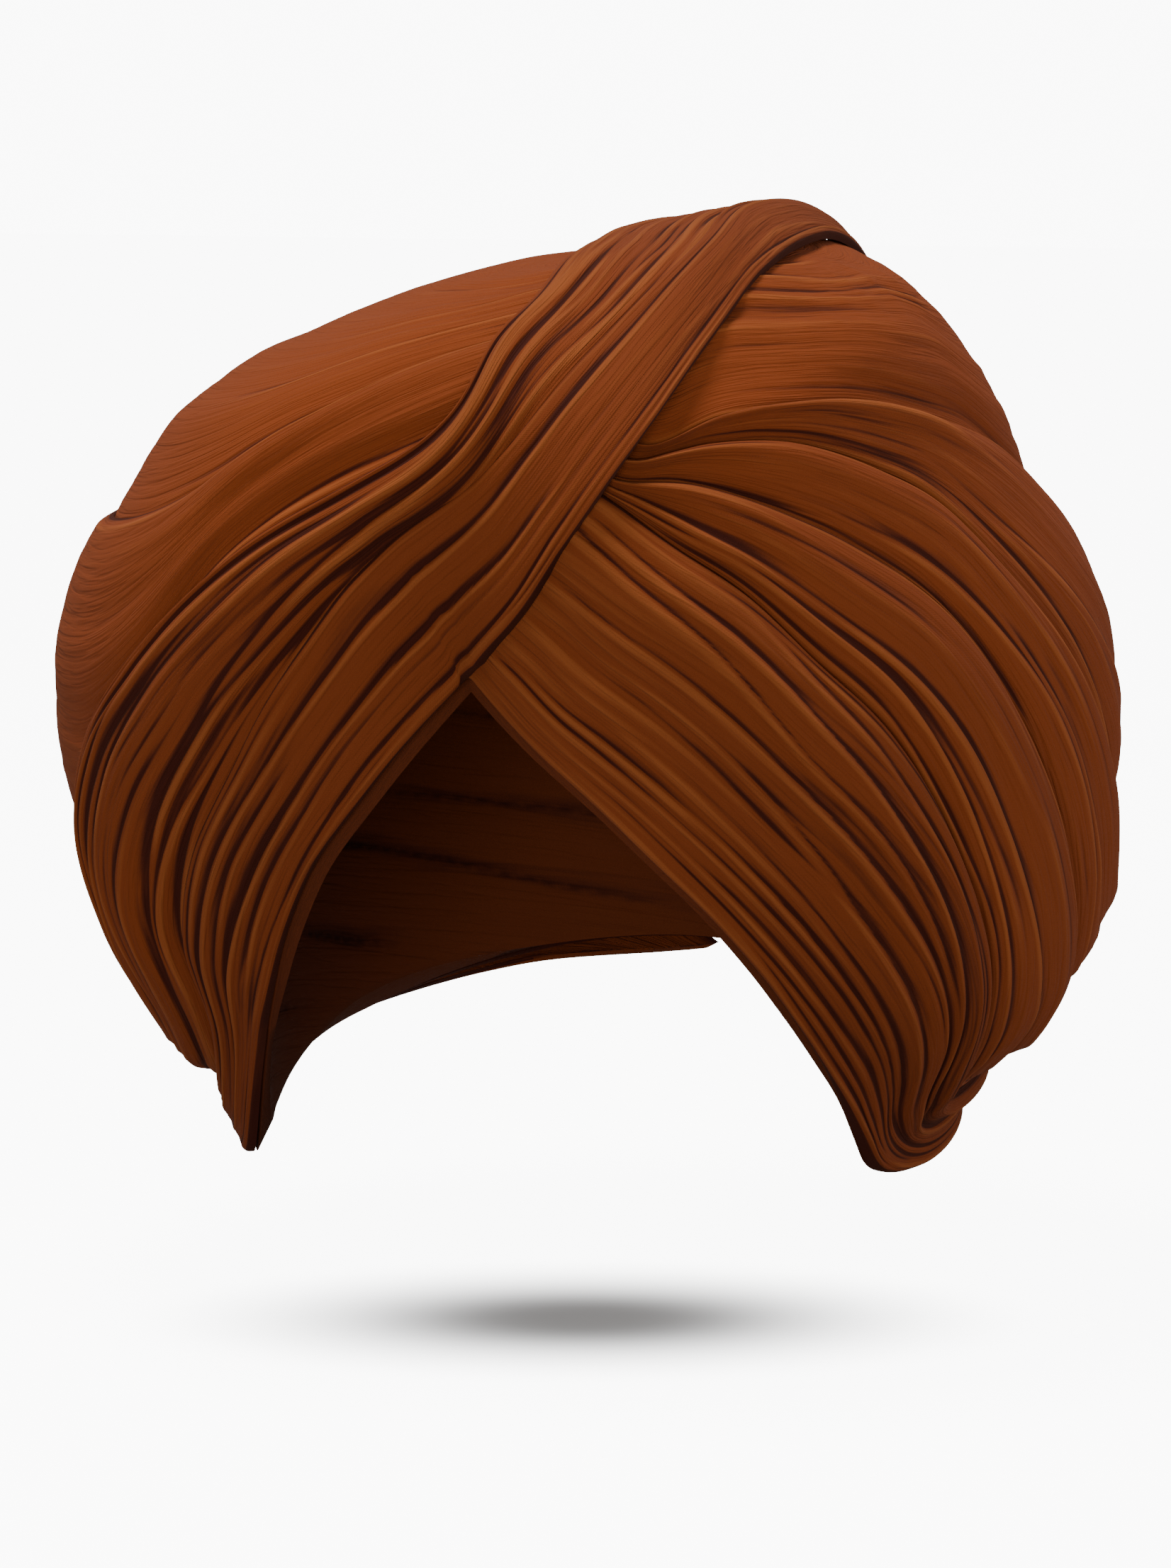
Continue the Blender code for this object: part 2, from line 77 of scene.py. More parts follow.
# Angles, in degrees
TUCK = 28.0
CROWN_TURN = 60.0
CROWN_RISE = 77.0
CROWN_OPENING = 6.0
PRESSED = 3.0
FREE = 12.0

# Shape of the level sections, and of how the layers share a turn's width
SQUARENESS = 2.15
EGG = 0.08
MARGIN = 0.15
STEP_START = 0.45
STEP_END = 0.85
ROUNDNESS = 0.6

# Sections from the ear tips to the top. Height is a share of DROP below the ring and of CROWN_HEIGHT
# above it; right and left (the wearer's) are shares of HALF_WIDTH, front and back of HALF_DEPTH.
SECTIONS = (
    # height, right, left, front, back
    (-1.00, 0.60, 0.56, 0.73, 0.76),
    (-0.83, 0.68, 0.70, 0.75, 0.82),
    (-0.56, 0.81, 0.84, 0.78, 0.93),
    (-0.22, 0.96, 0.92, 0.82, 1.04),
    (0.125, 1.05, 0.94, 0.86, 1.095),
    (0.343, 1.01, 0.90, 0.905, 1.08),
    (0.561, 0.87, 0.79, 0.905, 1.01),
    (0.748, 0.66, 0.67, 0.82, 0.86),
    (0.897, 0.26, 0.56, 0.57, 0.61),
    (0.972, -0.09, 0.43, 0.28, 0.38),
    (1.00, -0.26, 0.26, -0.06, 0.06),
)

# The lower edge, from the peak over the brow by the wearer's left ear, the nape and the right ear
RIM = (
    # turn, rise
    (-1, 28.0), (9, 19.2), (18, 11.6), (26, 4.0), (35, -4.7), (44, -14.1), (53, -23.4), (63, -32.3),
    (75, -40.5), (84, -44.3), (95, -43.3), (110, -38.3), (130, -31.8), (150, -26.6), (180, -23.5),
    (210, -26.6), (240, -32.1), (260, -37.1), (275, -40.3), (285, -41.9), (294, -41.8), (308, -30.6),
    (318, -21.1), (325, -12.1), (332, -2.8), (336, 2.0), (344, 10.5), (351, 18.7), (359, 28.0),
)

# Where the turns' upper edges lie, row by row round the head: first the rim's turn, then turn and
# rise of the upper edge of the left temple, lower side, middle side and upper side wraps, and last
# the level of the upper side wrap's edge, raised where the front cloth's tail is tucked under it.
WINDING = (
    # rim, left temple, lower side, middle side, upper side, level
    (-1, 15, 42.2, 16.5, 43.2, 18, 44.3, 19.5, 45.4, 1),
    (4, 20, 40.1, 22, 41.5, 24, 43.3, 26, 44.6, 1),
    (14, 28, 36.1, 31, 41.6, 34, 45.4, 36, 48.1, 1),
    (25, 37, 31.9, 42, 40.0, 46, 46.2, 50, 50.2, 1),
    (37, 46, 25.5, 53, 37.2, 60, 44.3, 65, 50.9, 1),
    (50, 56, 18.0, 66, 31.0, 72, 40.5, 82, 49.2, 1),
    (63, 65, 7.5, 77, 20.0, 85, 30.0, 98, 45.5, 1),
    (75, 74, -8.0, 87, 6.0, 96, 19.0, 112, 37.5, 1),
    (84, 83, -24.0, 95, -8.0, 104, 8.0, 124, 31.0, 1),
    (95, 93, -34.0, 101, -19.0, 111, -2.0, 136, 28.0, 1.2),
    (112, 112, -29.5, 114, -19.0, 122, -1.0, 148, 26.0, 2),
    (134, 134, -21.0, 134, -10.0, 139, 5.0, 160, 27.0, 2),
    (157, 157, -15.0, 157, -2.0, 159, 13.0, 172, 30.0, 2),
    (180, 180, -12.0, 180, 2.0, 181, 17.0, 185, 33.0, 1.4),
    (203, 203, -14.0, 202, 1.0, 202, 17.0, 201, 35.0, 1),
    (226, 226, -20.0, 225, -5.0, 225, 12.0, 221, 35.5, 1),
    (247, 247, -27.0, 247, -13.0, 247, 4.0, 244, 34.5, 1),
    (262, 263, -31.0, 264, -18.0, 266, -3.0, 268, 34.0, 1),
    (276, 277, -33.0, 280, -20.0, 284, -7.0, 290, 34.5, 1),
    (288, 289, -31.0, 293, -19.0, 299, -7.0, 309, 35.8, 1),
    (297, 297, -24.0, 303, -11.0, 311, 4.0, 325, 39.3, 1),
    (305, 304, -17.0, 312, 0.0, 326, 23.0, 340, 46.3, 1),
    (312, 311, -9.0, 320, 9.0, 342, 34.0, 356, 53.2, 1),
    (320, 318, -1.0, 328, 17.0, 358, 41.5, 376, 57.0, 1),
)

# The last turn, row by row from the nape by the right ear over the brow and the crown to its tail:
# turn and rise of the hem, of the valley between the flat pleats and the gathers, and of the
# gathers' upper edge, then the levels of the hem, of the band at the valley, of the gathers at the
# valley and of their upper edge. They rise gently past the peak, so that the pleats run on smoothly.
FRONT = (
    # hem, valley, gathers, levels of hem, band, gathers low, gathers high
    (205, -26.1, 205, -26.1, 176, -23.6, 1, 1, 1, 1),
    (226, -29.4, 226, -29.4, 190, -15.0, 1, 1, 1, 2),
    (246, -33.6, 246, -33.6, 216, -12.0, 1, 1, 1, 2),
    (264, -38.1, 264, -38.1, 244, -17.0, 0.3, 0.3, 0.3, 2),
    (279, -41.0, 273, -37.0, 268, -23.0, 0, 1.2, 0, 2),
    (289, -42.0, 284, -36.5, 284, -24.0, 0, 1, 0, 2),
    (297, -40.0, 293, -33.0, 292, -17.0, 0, 1, 0, 2),
    (307, -31.5, 303, -24.0, 297.5, -7.0, 0, 1, 0, 2),
    (318, -21.1, 311, -10.5, 301.5, 5.0, 0, 1, 0, 2),
    (329, -6.8, 320, 2.5, 307, 14.0, 0, 1, 0, 1.4),
    (340, 6.2, 331, 15.3, 316.5, 22.0, 0.2, 1, 0, 1),
    (350, 17.5, 341, 27.0, 330, 31.3, 0.5, 1, 0.2, 1),
    (359, 28.0, 351.5, 37.6, 347, 41.2, 1.0, 1.1, 0.6, 1.3),
    (371, 33.8, 365, 43.2, 360, 47.0, 1.5, 1.25, 0.9, 2),
    (382.5, 43.5, 374, 49.0, 364.5, 53.8, 2, 1.6, 1.1, 2),
    (396, 54.9, 385, 57.4, 369, 62.0, 2, 2, 1, 1.3),
    (413, 63.5, 402, 66.5, 372, 74.0, 1, 2, 1, 1),
    (441, 68.5, 437, 75.0, 405, 86.5, 1, 2, 1, 1),
    (481, 66.0, 491, 69.5, 522.5, 75.0, 1, 2, 1, 1),
    (502, 55.0, 510, 57.0, 524.5, 60.0, 1, 2, 1, 1),
    (511, 42.3, 517, 43.0, 526.5, 44.0, 1, 1, 1, 1),
    (512.5, 31.0, 518, 31.3, 528.5, 32.0, 1, 1, 1, 1),
    (513, 24.0, 518.5, 24.3, 529, 25.0, 1, 1, 1, 1),
)

# Where the columns of the two tables start
UPPER_SIDE_COLUMN = 7
LEVEL_COLUMN = 9
HEM_COLUMN = 0
VALLEY_COLUMN = 2
GATHERS_COLUMN = 4
BAND_LEVELS = slice(6, 8)
GATHERS_LEVELS = slice(8, 10)

# Lines of the winding that a turn starts from
UPPER_SIDE_LINE = 3
CROWN_LINE = 4

# Rows of the last turn: its peak over the brow and how many degrees the hem dips past it, where its tail
# is tucked under and how far the gathers reach under the band there, as a share of its width (below 0
# they stop short of it), the row up to which the valley is the hem, and the row where the band begins
PEAK_ROW = 12
PEAK_DIP = ((12, 0.0), (12.3, 1.2), (12.7, 0.8), (13.3, 0.0))
TAIL_ROW = 18
TAIL_ROOM = -0.06
RIGHT_FIRST = 3
BAND_FIRST = 3.6

# The last rows of the turns, and the rows between which a turn's swelling changes
LEFT_LAST = 16
SIDE_LAST = 20
TOP_LAST = len(WINDING) - 1
FRONT_LAST = len(FRONT) - 1
ROLL_ROWS = (5, 13, 19)

# Where the lower edge is a thicker roll, behind each ear, by turn
EAR_ROLLS = (
    # start, full, fade, end
    (80, 111, 130, 172),
    (190, 235, 262, 310),
)

# How finely the curves are divided, and how the skin's slope is felt
BATCH = 12000
HALVINGS = 24
RIM_SPLIT = 12
SECTION_STEPS = 2000
FRONT_SPLIT = 3
FRONT_COLUMNS = 11
PROBE = 0.004
SMALLEST = 0.0001
SLANTED = np.array([0.013, 0.027, 1.0])
ROWS_PER_STATION = 14
INNER_SHARES = 7
INNER_OUTER_ROWS = 10
INNER_OUTER_SPACING = 1.5
EDGE_BUNCHING = 0.45
NOISE_LATTICE = 64
SHARP_ANGLE = 70.0

# Creases: the stations over which one fades in or out, how far it draws the cloth, how wide a turn is
# where they are full size, and the smallest share of that, the reach that they are levelled against,
# the most that they add up to, the roundness of a valley's bottom, and the lip that follows below it
FADE_STATIONS = 1.6
FOLD_REACH = 0.0050
NARROW = 0.024
NARROWEST = 0.15
NARROWEST_CREASE = 0.12
LEVELLED = 0.011
PRESS_LIMIT = 1.1
VALLEY_ROUND = 0.2
LIP = 0.35
LIP_PLACE = 1.9
LIP_WIDTH = 1.3

# How a crease wanders and how uneven its depth is, with the steps between the creases' own noise, and
# how much of its depth it has by its reach above
WANDER_LENGTH = 0.045
WANDER = 0.0012
WANDER_STEP = 7.3
UNEVEN_LENGTH = 0.035
UNEVEN_LEAST = 0.75
UNEVEN = 0.45
UNEVEN_STEP = 5.1
UNEVEN_SEED = 90
SHARP_WEIGHT = 0.45
BROAD_WEIGHT = 0.45

# Scattered creases: their place within their share of the width, how they slant, the share of the turn
# that they run along, their least depth, and how far they draw the cloth below and above them; then
# those of each turn, with the first of the five seeds of the turn's own noise
SCATTER_PLACE = (0.15, 0.85)
SCATTER_SLANT = 0.04
SCATTER_SPAN = (0.45, 1.0)
SCATTER_DEPTH = 0.25
SCATTER_BELOW = (0.7, 1.4)
SCATTER_ABOVE = (0.6, 1.4)
SCATTERED = {
    # seed, noise's first seed, count, first and last row, low and high share, depth, below, above
    "left_temple_wrap": (11, 21, 17, 0, LEFT_LAST, 0.03, 0.97, 0.40, 0.20, 1.0),
    "lower_side_wrap": (31, 32, 6, 0, SIDE_LAST, 0.05, 0.95, 0.35, 0.20, 1.0),
    "middle_side_wrap": (41, 42, 5, 0, SIDE_LAST, 0.05, 0.95, 0.35, 0.20, 1.0),
    "upper_side_wrap": (51, 52, 5, 0, TOP_LAST, 0.05, 0.95, 0.35, 0.20, 1.0),
    "crown_wrap": (61, 62, 9, 0, TOP_LAST, 0.02, 0.90, 0.25, 0.50, 2.4),
    "right_temple_wrap": (71, 72, 18, 2, FRONT_LAST, 0.06, 0.97, 0.55, 0.18, 0.9),
    "front_band": (81, 82, 8, BAND_FIRST, FRONT_LAST, 0.20, 0.95, 0.22, 0.12, 0.6),
}

# Waves and wrinkles: lengths along the cloth, widths across it, slants and heights
WAVE_LENGTH = 0.10
WAVE_WIDTH = 0.016
WAVE_WANDER_LENGTH = 0.11
WAVE_WANDER = 0.004
FINE_LENGTH = 0.05
FINE_WIDTH = 0.0042
FINE_SLANT = 0.12
FINE_WRINKLES = 0.00018
THIN_LENGTH = 0.03
THIN_WIDTH = 0.0018
THIN_SLANT = -0.05
THIN_WRINKLES = 0.00007
BAND_WAVES = 0.25

# Painted shade and highlight: a point is painted darker the further it lies below the cloth around it and
# lighter above it, broadly and along fine lines, with the reach and the depth of each, the fold of flat
# cloth, and that of the ply's under side, which is painted in shade
SHADED = 0.0032
SHADE_DEPTH = 0.0013
LINED = 0.0010
LINE_DEPTH = 0.00050
LINE_DARKEST = -0.4
LINE_LIGHTEST = 0.12
FLAT_FOLD = 0.55
UNDER_SIDE_SHADING = 0.5

# How a strip ends: how far its free edge thins out, and the reach of that and of the flat parts by its
# edges, its ends and where it is tucked under, the last as a share of the width. Its edge is rounded by
# a share of the ply, and no crease is deeper than another share of it.
TAPER = 0.0009
TAPER_REACH = 0.005
DROP_REACH = 0.014
EDGE_FLAT = 0.002
END_FLAT = 0.012
TUCKED_FLAT = 0.08
EDGE_ROUND = 0.55
DEEPEST = 0.85

# Stations, and what holds there: how far the band's hem hangs down to the crown, how thick the band is,
# and how far the upper edges of the upper side wrap, the other side wraps and the gathers thin out
HEM_DROP = (
    (12, 0), (13.9, 0), (14.5, 0.0022), (15, 0.0035), (15.5, 0.0026), (16, 0.0010), (18.5, 0.0009),
    (20, 0),
)
BAND_THICKNESS = ((11, PLY), (12, 0.0045), (14.5, 0.0058), (16.5, PLY))
UPPER_TAPER = ((7, TAPER), (10, 0.0015), (14, 0.0018), (21.5, 0.0018), (22.5, TAPER))
SIDE_TAPER = ((3, TAPER), (7, 0.0020), (20, 0.0020))
GATHERS_TAPER = ((0, 0.0020), (8, 0.0020), (10, TAPER))

# Stations, and the share of the relief, and of the valley by the upper side wrap, that the dome keeps
DOME_CALM = ((0, 1), (13, 0.8), (17, 0.40), (19, 0.65), (21, 1))
DOME_VALLEY = ((0, 1), (13, 1), (16, 0.35), (23, 0.35))
ALL_KEPT = ((0, 1),)

# Stations, and how much lighter a turn's colour is painted there: painted light, and painted shade where
# below 0, as light falls along the turn
LEFT_TEMPLE_PAINTED_LIGHT = ((0, 0.24), (3, 0.14), (5.5, -0.18), (8.5, -0.24), (10.5, 0.12), (13, 0.25), (16, 0.1))
GATHERS_PAINTED_LIGHT = ((0, 0.1), (4, 0.25), (6.5, 0.0), (9.5, -0.20), (12, -0.08), (15, 0.10), (22, 0.05))
BAND_PAINTED_LIGHT = ((4, -0.10), (12, -0.10), (15, 0.05), (22, 0.05))
NO_PAINTED_LIGHT = ((0, 0.0),)

# Creases of each turn: the stations from which and to which one runs, its share of the turn's width
# at the start, the middle and the end, its depth, and how far it draws the cloth below and above it
LEFT_TEMPLE_CREASES = (
    # first, last, start, middle, end, depth, below, above
    (0, 16, 0.97, 0.965, 0.95, 0.8, 0.15, 0.35),
    (0, 9, 0.95, 0.80, 0.60, 1.3, 0.20, 1.6),
    (2.5, 10, 0.97, 0.86, 0.75, 1.0, 0.20, 1.0),
    (0, 7, 0.88, 0.74, 0.60, 0.9, 0.20, 1.4),
    (0.5, 12, 0.63, 0.58, 0.50, 1.2, 0.20, 2.2),
    (0.5, 7, 0.45, 0.44, 0.40, 0.6, 0.30, 2.0),
    (3, 12, 0.52, 0.40, 0.36, 0.9, 0.25, 2.2),
    (2, 12, 0.36, 0.31, 0.28, 0.7, 0.25, 1.2),
    (0.5, 14, 0.25, 0.25, 0.22, 1.1, 0.15, 0.7),
    (0, 14, 0.19, 0.20, 0.18, 1.1, 0.15, 0.5),
    (1.5, 16, 0.13, 0.145, 0.12, 0.9, 0.15, 0.45),
    (1.5, 16, 0.09, 0.09, 0.08, 1.0, 0.15, 0.4),
    (2, 16, 0.05, 0.05, 0.05, 0.7, 0.15, 0.3),
    (9, 16, 0.70, 0.72, 0.74, 1.0, 0.25, 2.0),
)
LOWER_SIDE_CREASES = (
    # first, last, start, middle, end, depth, below, above
    (0, 20, 0.97, 0.96, 0.96, 0.9, 0.15, 0.4),
    (0, 9, 0.50, 0.42, 0.47, 1.5, 0.20, 1.6),
    (8, 20, 0.47, 0.50, 0.52, 1.2, 0.20, 2.0),
    (0, 10, 0.30, 0.25, 0.12, 1.2, 0.15, 0.8),
    (1, 11, 0.12, 0.09, 0.05, 0.9, 0.12, 0.5),
    (1.5, 8, 0.40, 0.32, 0.28, 0.8, 0.20, 0.7),
    (4, 12, 0.80, 0.74, 0.72, 0.8, 0.30, 2.0),
    (5, 20, 0.90, 0.88, 0.88, 0.9, 0.20, 0.8),
    (1, 6, 0.70, 0.72, 0.66, 0.5, 0.30, 2.0),
    (10, 20, 0.25, 0.28, 0.26, 0.9, 0.25, 1.8),
)
MIDDLE_SIDE_CREASES = (
    # first, last, start, middle, end, depth, below, above
    (0, 20, 0.96, 0.95, 0.95, 0.8, 0.15, 0.4),
    (0, 7, 0.22, 0.12, 0.10, 1.5, 0.30, 1.2),
    (0, 3.5, 0.85, 0.82, 0.80, 1.1, 0.20, 0.8),
    (3.5, 10, 0.22, 0.36, 0.22, 1.3, 0.25, 1.2),
    (5, 20, 0.45, 0.54, 0.56, 1.0, 0.25, 1.6),
    (3, 12, 0.90, 0.87, 0.85, 0.9, 0.15, 0.5),
    (4, 9, 0.72, 0.70, 0.68, 0.5, 0.20, 1.2),
    (10, 20, 0.25, 0.24, 0.26, 0.9, 0.25, 1.6),
)
UPPER_SIDE_CREASES = (
    # first, last, start, middle, end, depth, below, above
    (0, 10, 0.95, 0.95, 0.95, 0.8, 0.20, 0.6),
    (1, 7, 0.10, 0.20, 0.10, 1.4, 0.30, 1.5),
    (3.5, 10, 0.35, 0.20, 0.12, 1.3, 0.30, 1.0),
    (2.5, 11, 0.50, 0.38, 0.55, 1.2, 0.30, 1.6),
    (4, 12, 0.80, 0.66, 0.62, 0.5, 0.30, 2.2),
    (10, 18, 0.50, 0.50, 0.50, 0.7, 0.30, 2.4),
    (9, 18, 0.80, 0.80, 0.80, 0.7, 0.30, 2.2),
    (18, 23, 0.45, 0.41, 0.40, 0.9, 0.30, 2.0),
    (17, 23, 0.72, 0.70, 0.68, 0.5, 0.60, 3.0),
    (19.5, 23, 0.98, 0.98, 0.97, 1.0, 0.20, 0.7),
)
CROWN_CREASES = (
    # first, last, start, middle, end, depth, below, above
    (0, 9, 0.10, 0.10, 0.12, 0.5, 0.60, 2.6),
    (0, 9, 0.28, 0.28, 0.30, 0.5, 0.60, 3.0),
    (0, 9, 0.42, 0.42, 0.42, 0.5, 0.50, 2.6),
    (0, 8, 0.55, 0.56, 0.56, 1.0, 0.20, 0.7),
    (0, 8, 0.52, 0.53, 0.52, 0.8, 0.15, 0.4),
    (0, 7, 0.70, 0.67, 0.66, 0.9, 0.20, 0.9),
    (0, 6, 0.82, 0.80, 0.80, 0.8, 0.20, 0.9),
    (9, 18, 0.30, 0.30, 0.30, 0.5, 0.50, 3.0),
    (9, 18, 0.60, 0.60, 0.60, 0.5, 0.50, 3.0),
    (18.5, 23, 0.02, 0.03, 0.03, 1.1, 0.20, 0.8),
    (19, 23, 0.15, 0.17, 0.15, 0.5, 0.50, 3.0),
    (17, 23, 0.36, 0.36, 0.34, 0.5, 0.50, 3.0),
    (17, 23, 0.56, 0.56, 0.55, 0.5, 0.40, 2.4),
    (18.5, 23, 0.24, 0.25, 0.27, 1.1, 0.30, 1.4),
    (19, 23, 0.44, 0.45, 0.47, 0.9, 0.25, 1.0),
    (18, 23, 0.68, 0.69, 0.70, 1.0, 0.30, 1.6),
    (19.5, 23, 0.80, 0.80, 0.80, 0.8, 0.25, 0.9),
)
GATHER_CREASES = (
    # first, last, start, middle, end, depth, below, above
    (0, 22, 0.975, 0.975, 0.97, 0.8, 0.12, 0.3),
    (0, 22, 0.94, 0.935, 0.93, 1.0, 0.12, 0.35),
    (0, 22, 0.90, 0.88, 0.87, 0.9, 0.15, 0.5),
    (4, 13.5, 0.66, 0.72, 0.88, 1.2, 0.20, 1.2),
    (4, 13.5, 0.42, 0.37, 0.72, 1.4, 0.25, 1.4),
    (4, 13, 0.22, 0.14, 0.30, 1.2, 0.22, 1.2),
    (5, 12, 0.32, 0.27, 0.22, 0.9, 0.20, 0.9),
    (10.5, 18, 0.34, 0.30, 0.28, 1.3, 0.20, 0.9),
    (12, 20, 0.92, 0.90, 0.90, 1.2, 0.20, 0.6),
    (12.5, 20, 0.66, 0.62, 0.60, 1.0, 0.20, 0.9),
    (12.5, 20, 0.48, 0.46, 0.45, 0.9, 0.20, 0.8),
    (13, 20, 0.14, 0.13, 0.12, 0.8, 0.20, 0.6),
    (9, 12, 0.60, 0.60, 0.60, 0.5, 0.40, 2.0),
    (5, 10, 0.56, 0.54, 0.50, 0.8, 0.20, 1.2),
    (5, 10, 0.80, 0.80, 0.80, 0.7, 0.20, 1.2),
)
BAND_CREASES = (
    # first, last, start, middle, end, depth, below, above
    (3.6, 22, 0.14, 0.13, 0.12, 0.9, 0.10, 0.3),
    (3.6, 22, 0.085, 0.08, 0.07, 0.5, 0.08, 0.2),
    (4, 14.5, 0.40, 0.46, 0.38, 1.2, 0.12, 1.2),
    (4, 20, 0.82, 0.77, 0.88, 1.3, 0.14, 1.0),
    (6, 11.5, 0.93, 0.93, 0.92, 1.0, 0.15, 0.6),
    (6, 11, 0.30, 0.30, 0.28, 0.6, 0.12, 0.6),
    (5, 10.5, 0.20, 0.20, 0.20, 0.5, 0.12, 0.5),
    (5, 11, 0.62, 0.62, 0.60, 0.7, 0.15, 0.8),
    (14.5, 20, 0.96, 0.95, 0.95, 0.8, 0.15, 0.5),
)

# The wraps that show inside the hollow, as edges that slant round it: where they are highest, by how
# much, their number, the first one's height and the step to the next, how they wander, how far an edge
# reaches and how much steeper it is below, the cloth's roughness, how high the relief is and its most,
# and the shares of the hollow's height over which it grows at the rim and fades at the top
WRAP_TURN = 40
WRAP_SLANT = 0.016
WRAP_COUNT = 9
WRAP_START = -0.085
WRAP_STEP = 0.021
WRAP_WANDER = 0.006
WRAP_WANDER_TURN = 60
WRAP_WANDER_STEP = 3.7
WRAP_SEED = 5
WRAP_REACH = 0.0045
WRAP_STEEPNESS = 1.8
ROUGHNESS = 0.25
ROUGH_TURN = 25
ROUGH_WIDTH = 0.006
ROUGH_SEED = 6
INNER_RELIEF = 0.0013
INNER_MOST = 1.2
RIM_GROW = 0.08
TOP_FADE = 0.15
# Fold values of the inner turns' outer and inner sides, and how much painted shade darkens the inner side
# along the wraps' edges in the hollow
OUTER_FOLD = 0.4
INNER_FOLD = 0.6
INNER_PAINTED_SHADE = 0.5
HOLLOW_REACH = 0.09

# The cloth's finish and its painted shade and highlight: noise stretched over it (stretch, scale, detail),
# and the shares of each effect
NOISE_ROUGHNESS = 0.55
WARP_SLUBS = ((0.06, 1.0, 1.0), 1500.0, 2.0)
WEFT_SLUBS = ((1.0, 0.10, 1.0), 1500.0, 2.0)
DYE_PATCHES = ((0.35, 1.0, 1.0), 38.0, 3.0)
DYE_STREAKS = ((0.05, 1.0, 1.0), 420.0, 3.0)
WRINKLES = (
    # noise, width of a valley, share of the height
    (((0.05, 1.0, 1.0), 150.0, 2.0), 0.16, 0.6),
    (((0.07, 1.0, 1.0), 330.0, 2.0), 0.22, 0.4),
)
WEFT_SHARE = 0.5
THREAD_SHARE = 0.5
PATCH_SHARE = 0.44
STREAK_SHARE = 0.18
SLUB_SHARE = 0.08
UNEVEN_MIDDLE = 0.37
# Fold values over which the painted shade of the creases fades out and the painted highlight of the ridges
# fades in
CREASE_SHADE_RANGE = (-0.05, 0.42)
RIDGE_HIGHLIGHT_RANGE = (0.56, 1.20)
MATTE_LEAST = 0.78
MATTE_SHARE = 0.3
# The wrinkles' height below which their colour is painted darker, and by how much: painted shade in their
# valleys
WRINKLE_LEVEL = 0.8
WRINKLE_PAINTED_SHADE = 0.12
WRINKLE_BUMP = 0.6
WEAVE_BUMP = 0.35
SPECULAR = 0.15
SHEEN = 0.12
SHEEN_ROUGHNESS = 0.45
WHITE = (1.0, 1.0, 1.0, 1.0)

# The photo: its size and the origin's place in it in pixels, a pixel's size at the origin, and the view
IMAGE_WIDTH = 1652
IMAGE_HEIGHT = 2213
ORIGIN_X = 824
ORIGIN_Y = 1175
PIXEL = 0.0001853
VIEW_TURN = 17.0
VIEW_RISE = 8.0
VIEW_DISTANCE = 1.5
SENSOR = 36.0
FAR_CLIP = 20.0

# The stage: the floor's reach, its colours as it lights the turban and as it is seen, its glow as a share of
# the backdrop's, the oval under the turban where that fades out into a painted shadow, and the lights
STAGE_REACH = 6.0
SHADE_HALF_WIDTH = 0.125
SHADE_HALF_DEPTH = 0.075
SHADE_FALL = 2.0
FLOOR_LIT = (0.30, 0.30, 0.30, 1.0)
FLOOR_SEEN = (0.90, 0.90, 0.90, 1.0)
FLOOR_ROUGHNESS = 0.95
FLOOR_GLOW = 0.92
LIGHTS = (
    # name, setting of its power, place, target, size, colour
    ("key_light", "key_power", (-0.20, -0.30, 1.5), (0, 0, 0.05), 0.5, (1.0, 0.98, 0.95)),
    ("side_light", "side_power", (1.5, 0.45, 0.10), (0, 0, 0.0), 0.8, (1.0, 0.92, 0.82)),
    ("fill_light", "fill_power", (0.3, -1.9, -0.05), (0, 0, 0.0), 1.0, (1.0, 1.0, 1.0)),
)


def spline(rows, at, flat_end=False):
    """A smooth curve through the rows of a table, read at fractional row numbers."""
    rows = np.asarray(rows, float)
    slope = np.gradient(rows, axis=0)
    if flat_end:
        slope[-1] = 0.0
    at = np.clip(np.asarray(at, float), 0, len(rows) - 1)
    row = np.minimum(at.astype(int), len(rows) - 2)
    t = (at - row)[..., None]
    start, end = rows[row], rows[row + 1]
    return (
        (2 * t**3 - 3 * t**2 + 1) * start
        + (t**3 - 2 * t**2 + t) * slope[row]
        + (3 * t**2 - 2 * t**3) * end
        + (t**3 - t**2) * slope[row + 1]
    )


def smooth_step(value):
    value = np.clip(value, 0.0, 1.0)
    return value * value * (3 - 2 * value)


def unit(vectors):
    return vectors / np.linalg.norm(vectors, axis=-1, keepdims=True)


def direction(turn, rise):
    """Unit vectors toward a turn and a rise, both in degrees."""
    turn, rise = np.radians(turn), np.radians(rise)
    level = np.cos(rise)
    return np.stack([np.sin(turn) * level, -np.cos(turn) * level, np.sin(rise)], -1)


def line_of(rows, column, at):
    """Directions along one line of a table whose turn and rise start at this column."""
    table = np.asarray(rows, float)
    return unit(spline(direction(table[:, column], table[:, column + 1]), at))


def section_curves():
    """Height, middles and half sizes of the level sections, finely along the form."""
    table = np.asarray(SECTIONS, float)
    heights = np.where(table[:, 0] > 0, CROWN_HEIGHT, DROP) * table[:, 0]
    sizes = table[:, 1:] * np.array([HALF_WIDTH, HALF_WIDTH, HALF_DEPTH, HALF_DEPTH])
    at = np.linspace(0, len(table) - 1, SECTION_STEPS + 1)
    height = np.maximum.accumulate(spline(heights[:, None], at, True)[:, 0])
    right, left, front, back = spline(sizes, at).T
    return height, (left - right) / 2, (left + right) / 2, (back - front) / 2, (back + front) / 2


CURVES = section_curves()


def in_form(points):
    """Whether points lie inside the outer form, a stack of rounded level sections."""
    height, middle_x, half_x, middle_y, half_y = CURVES
    z = points[..., 2]
    across = np.maximum(np.interp(z, height, half_x), SMALLEST)
    along = np.maximum(np.interp(z, height, half_y), SMALLEST)
    v = (points[..., 1] - np.interp(z, height, middle_y)) / along
    u = (points[..., 0] - np.interp(z, height, middle_x)) / (across * (1 + EGG * np.clip(v, -1, 1)))
    return (np.abs(u) ** SQUARENESS + np.abs(v) ** SQUARENESS < 1) & (z < height[-1])


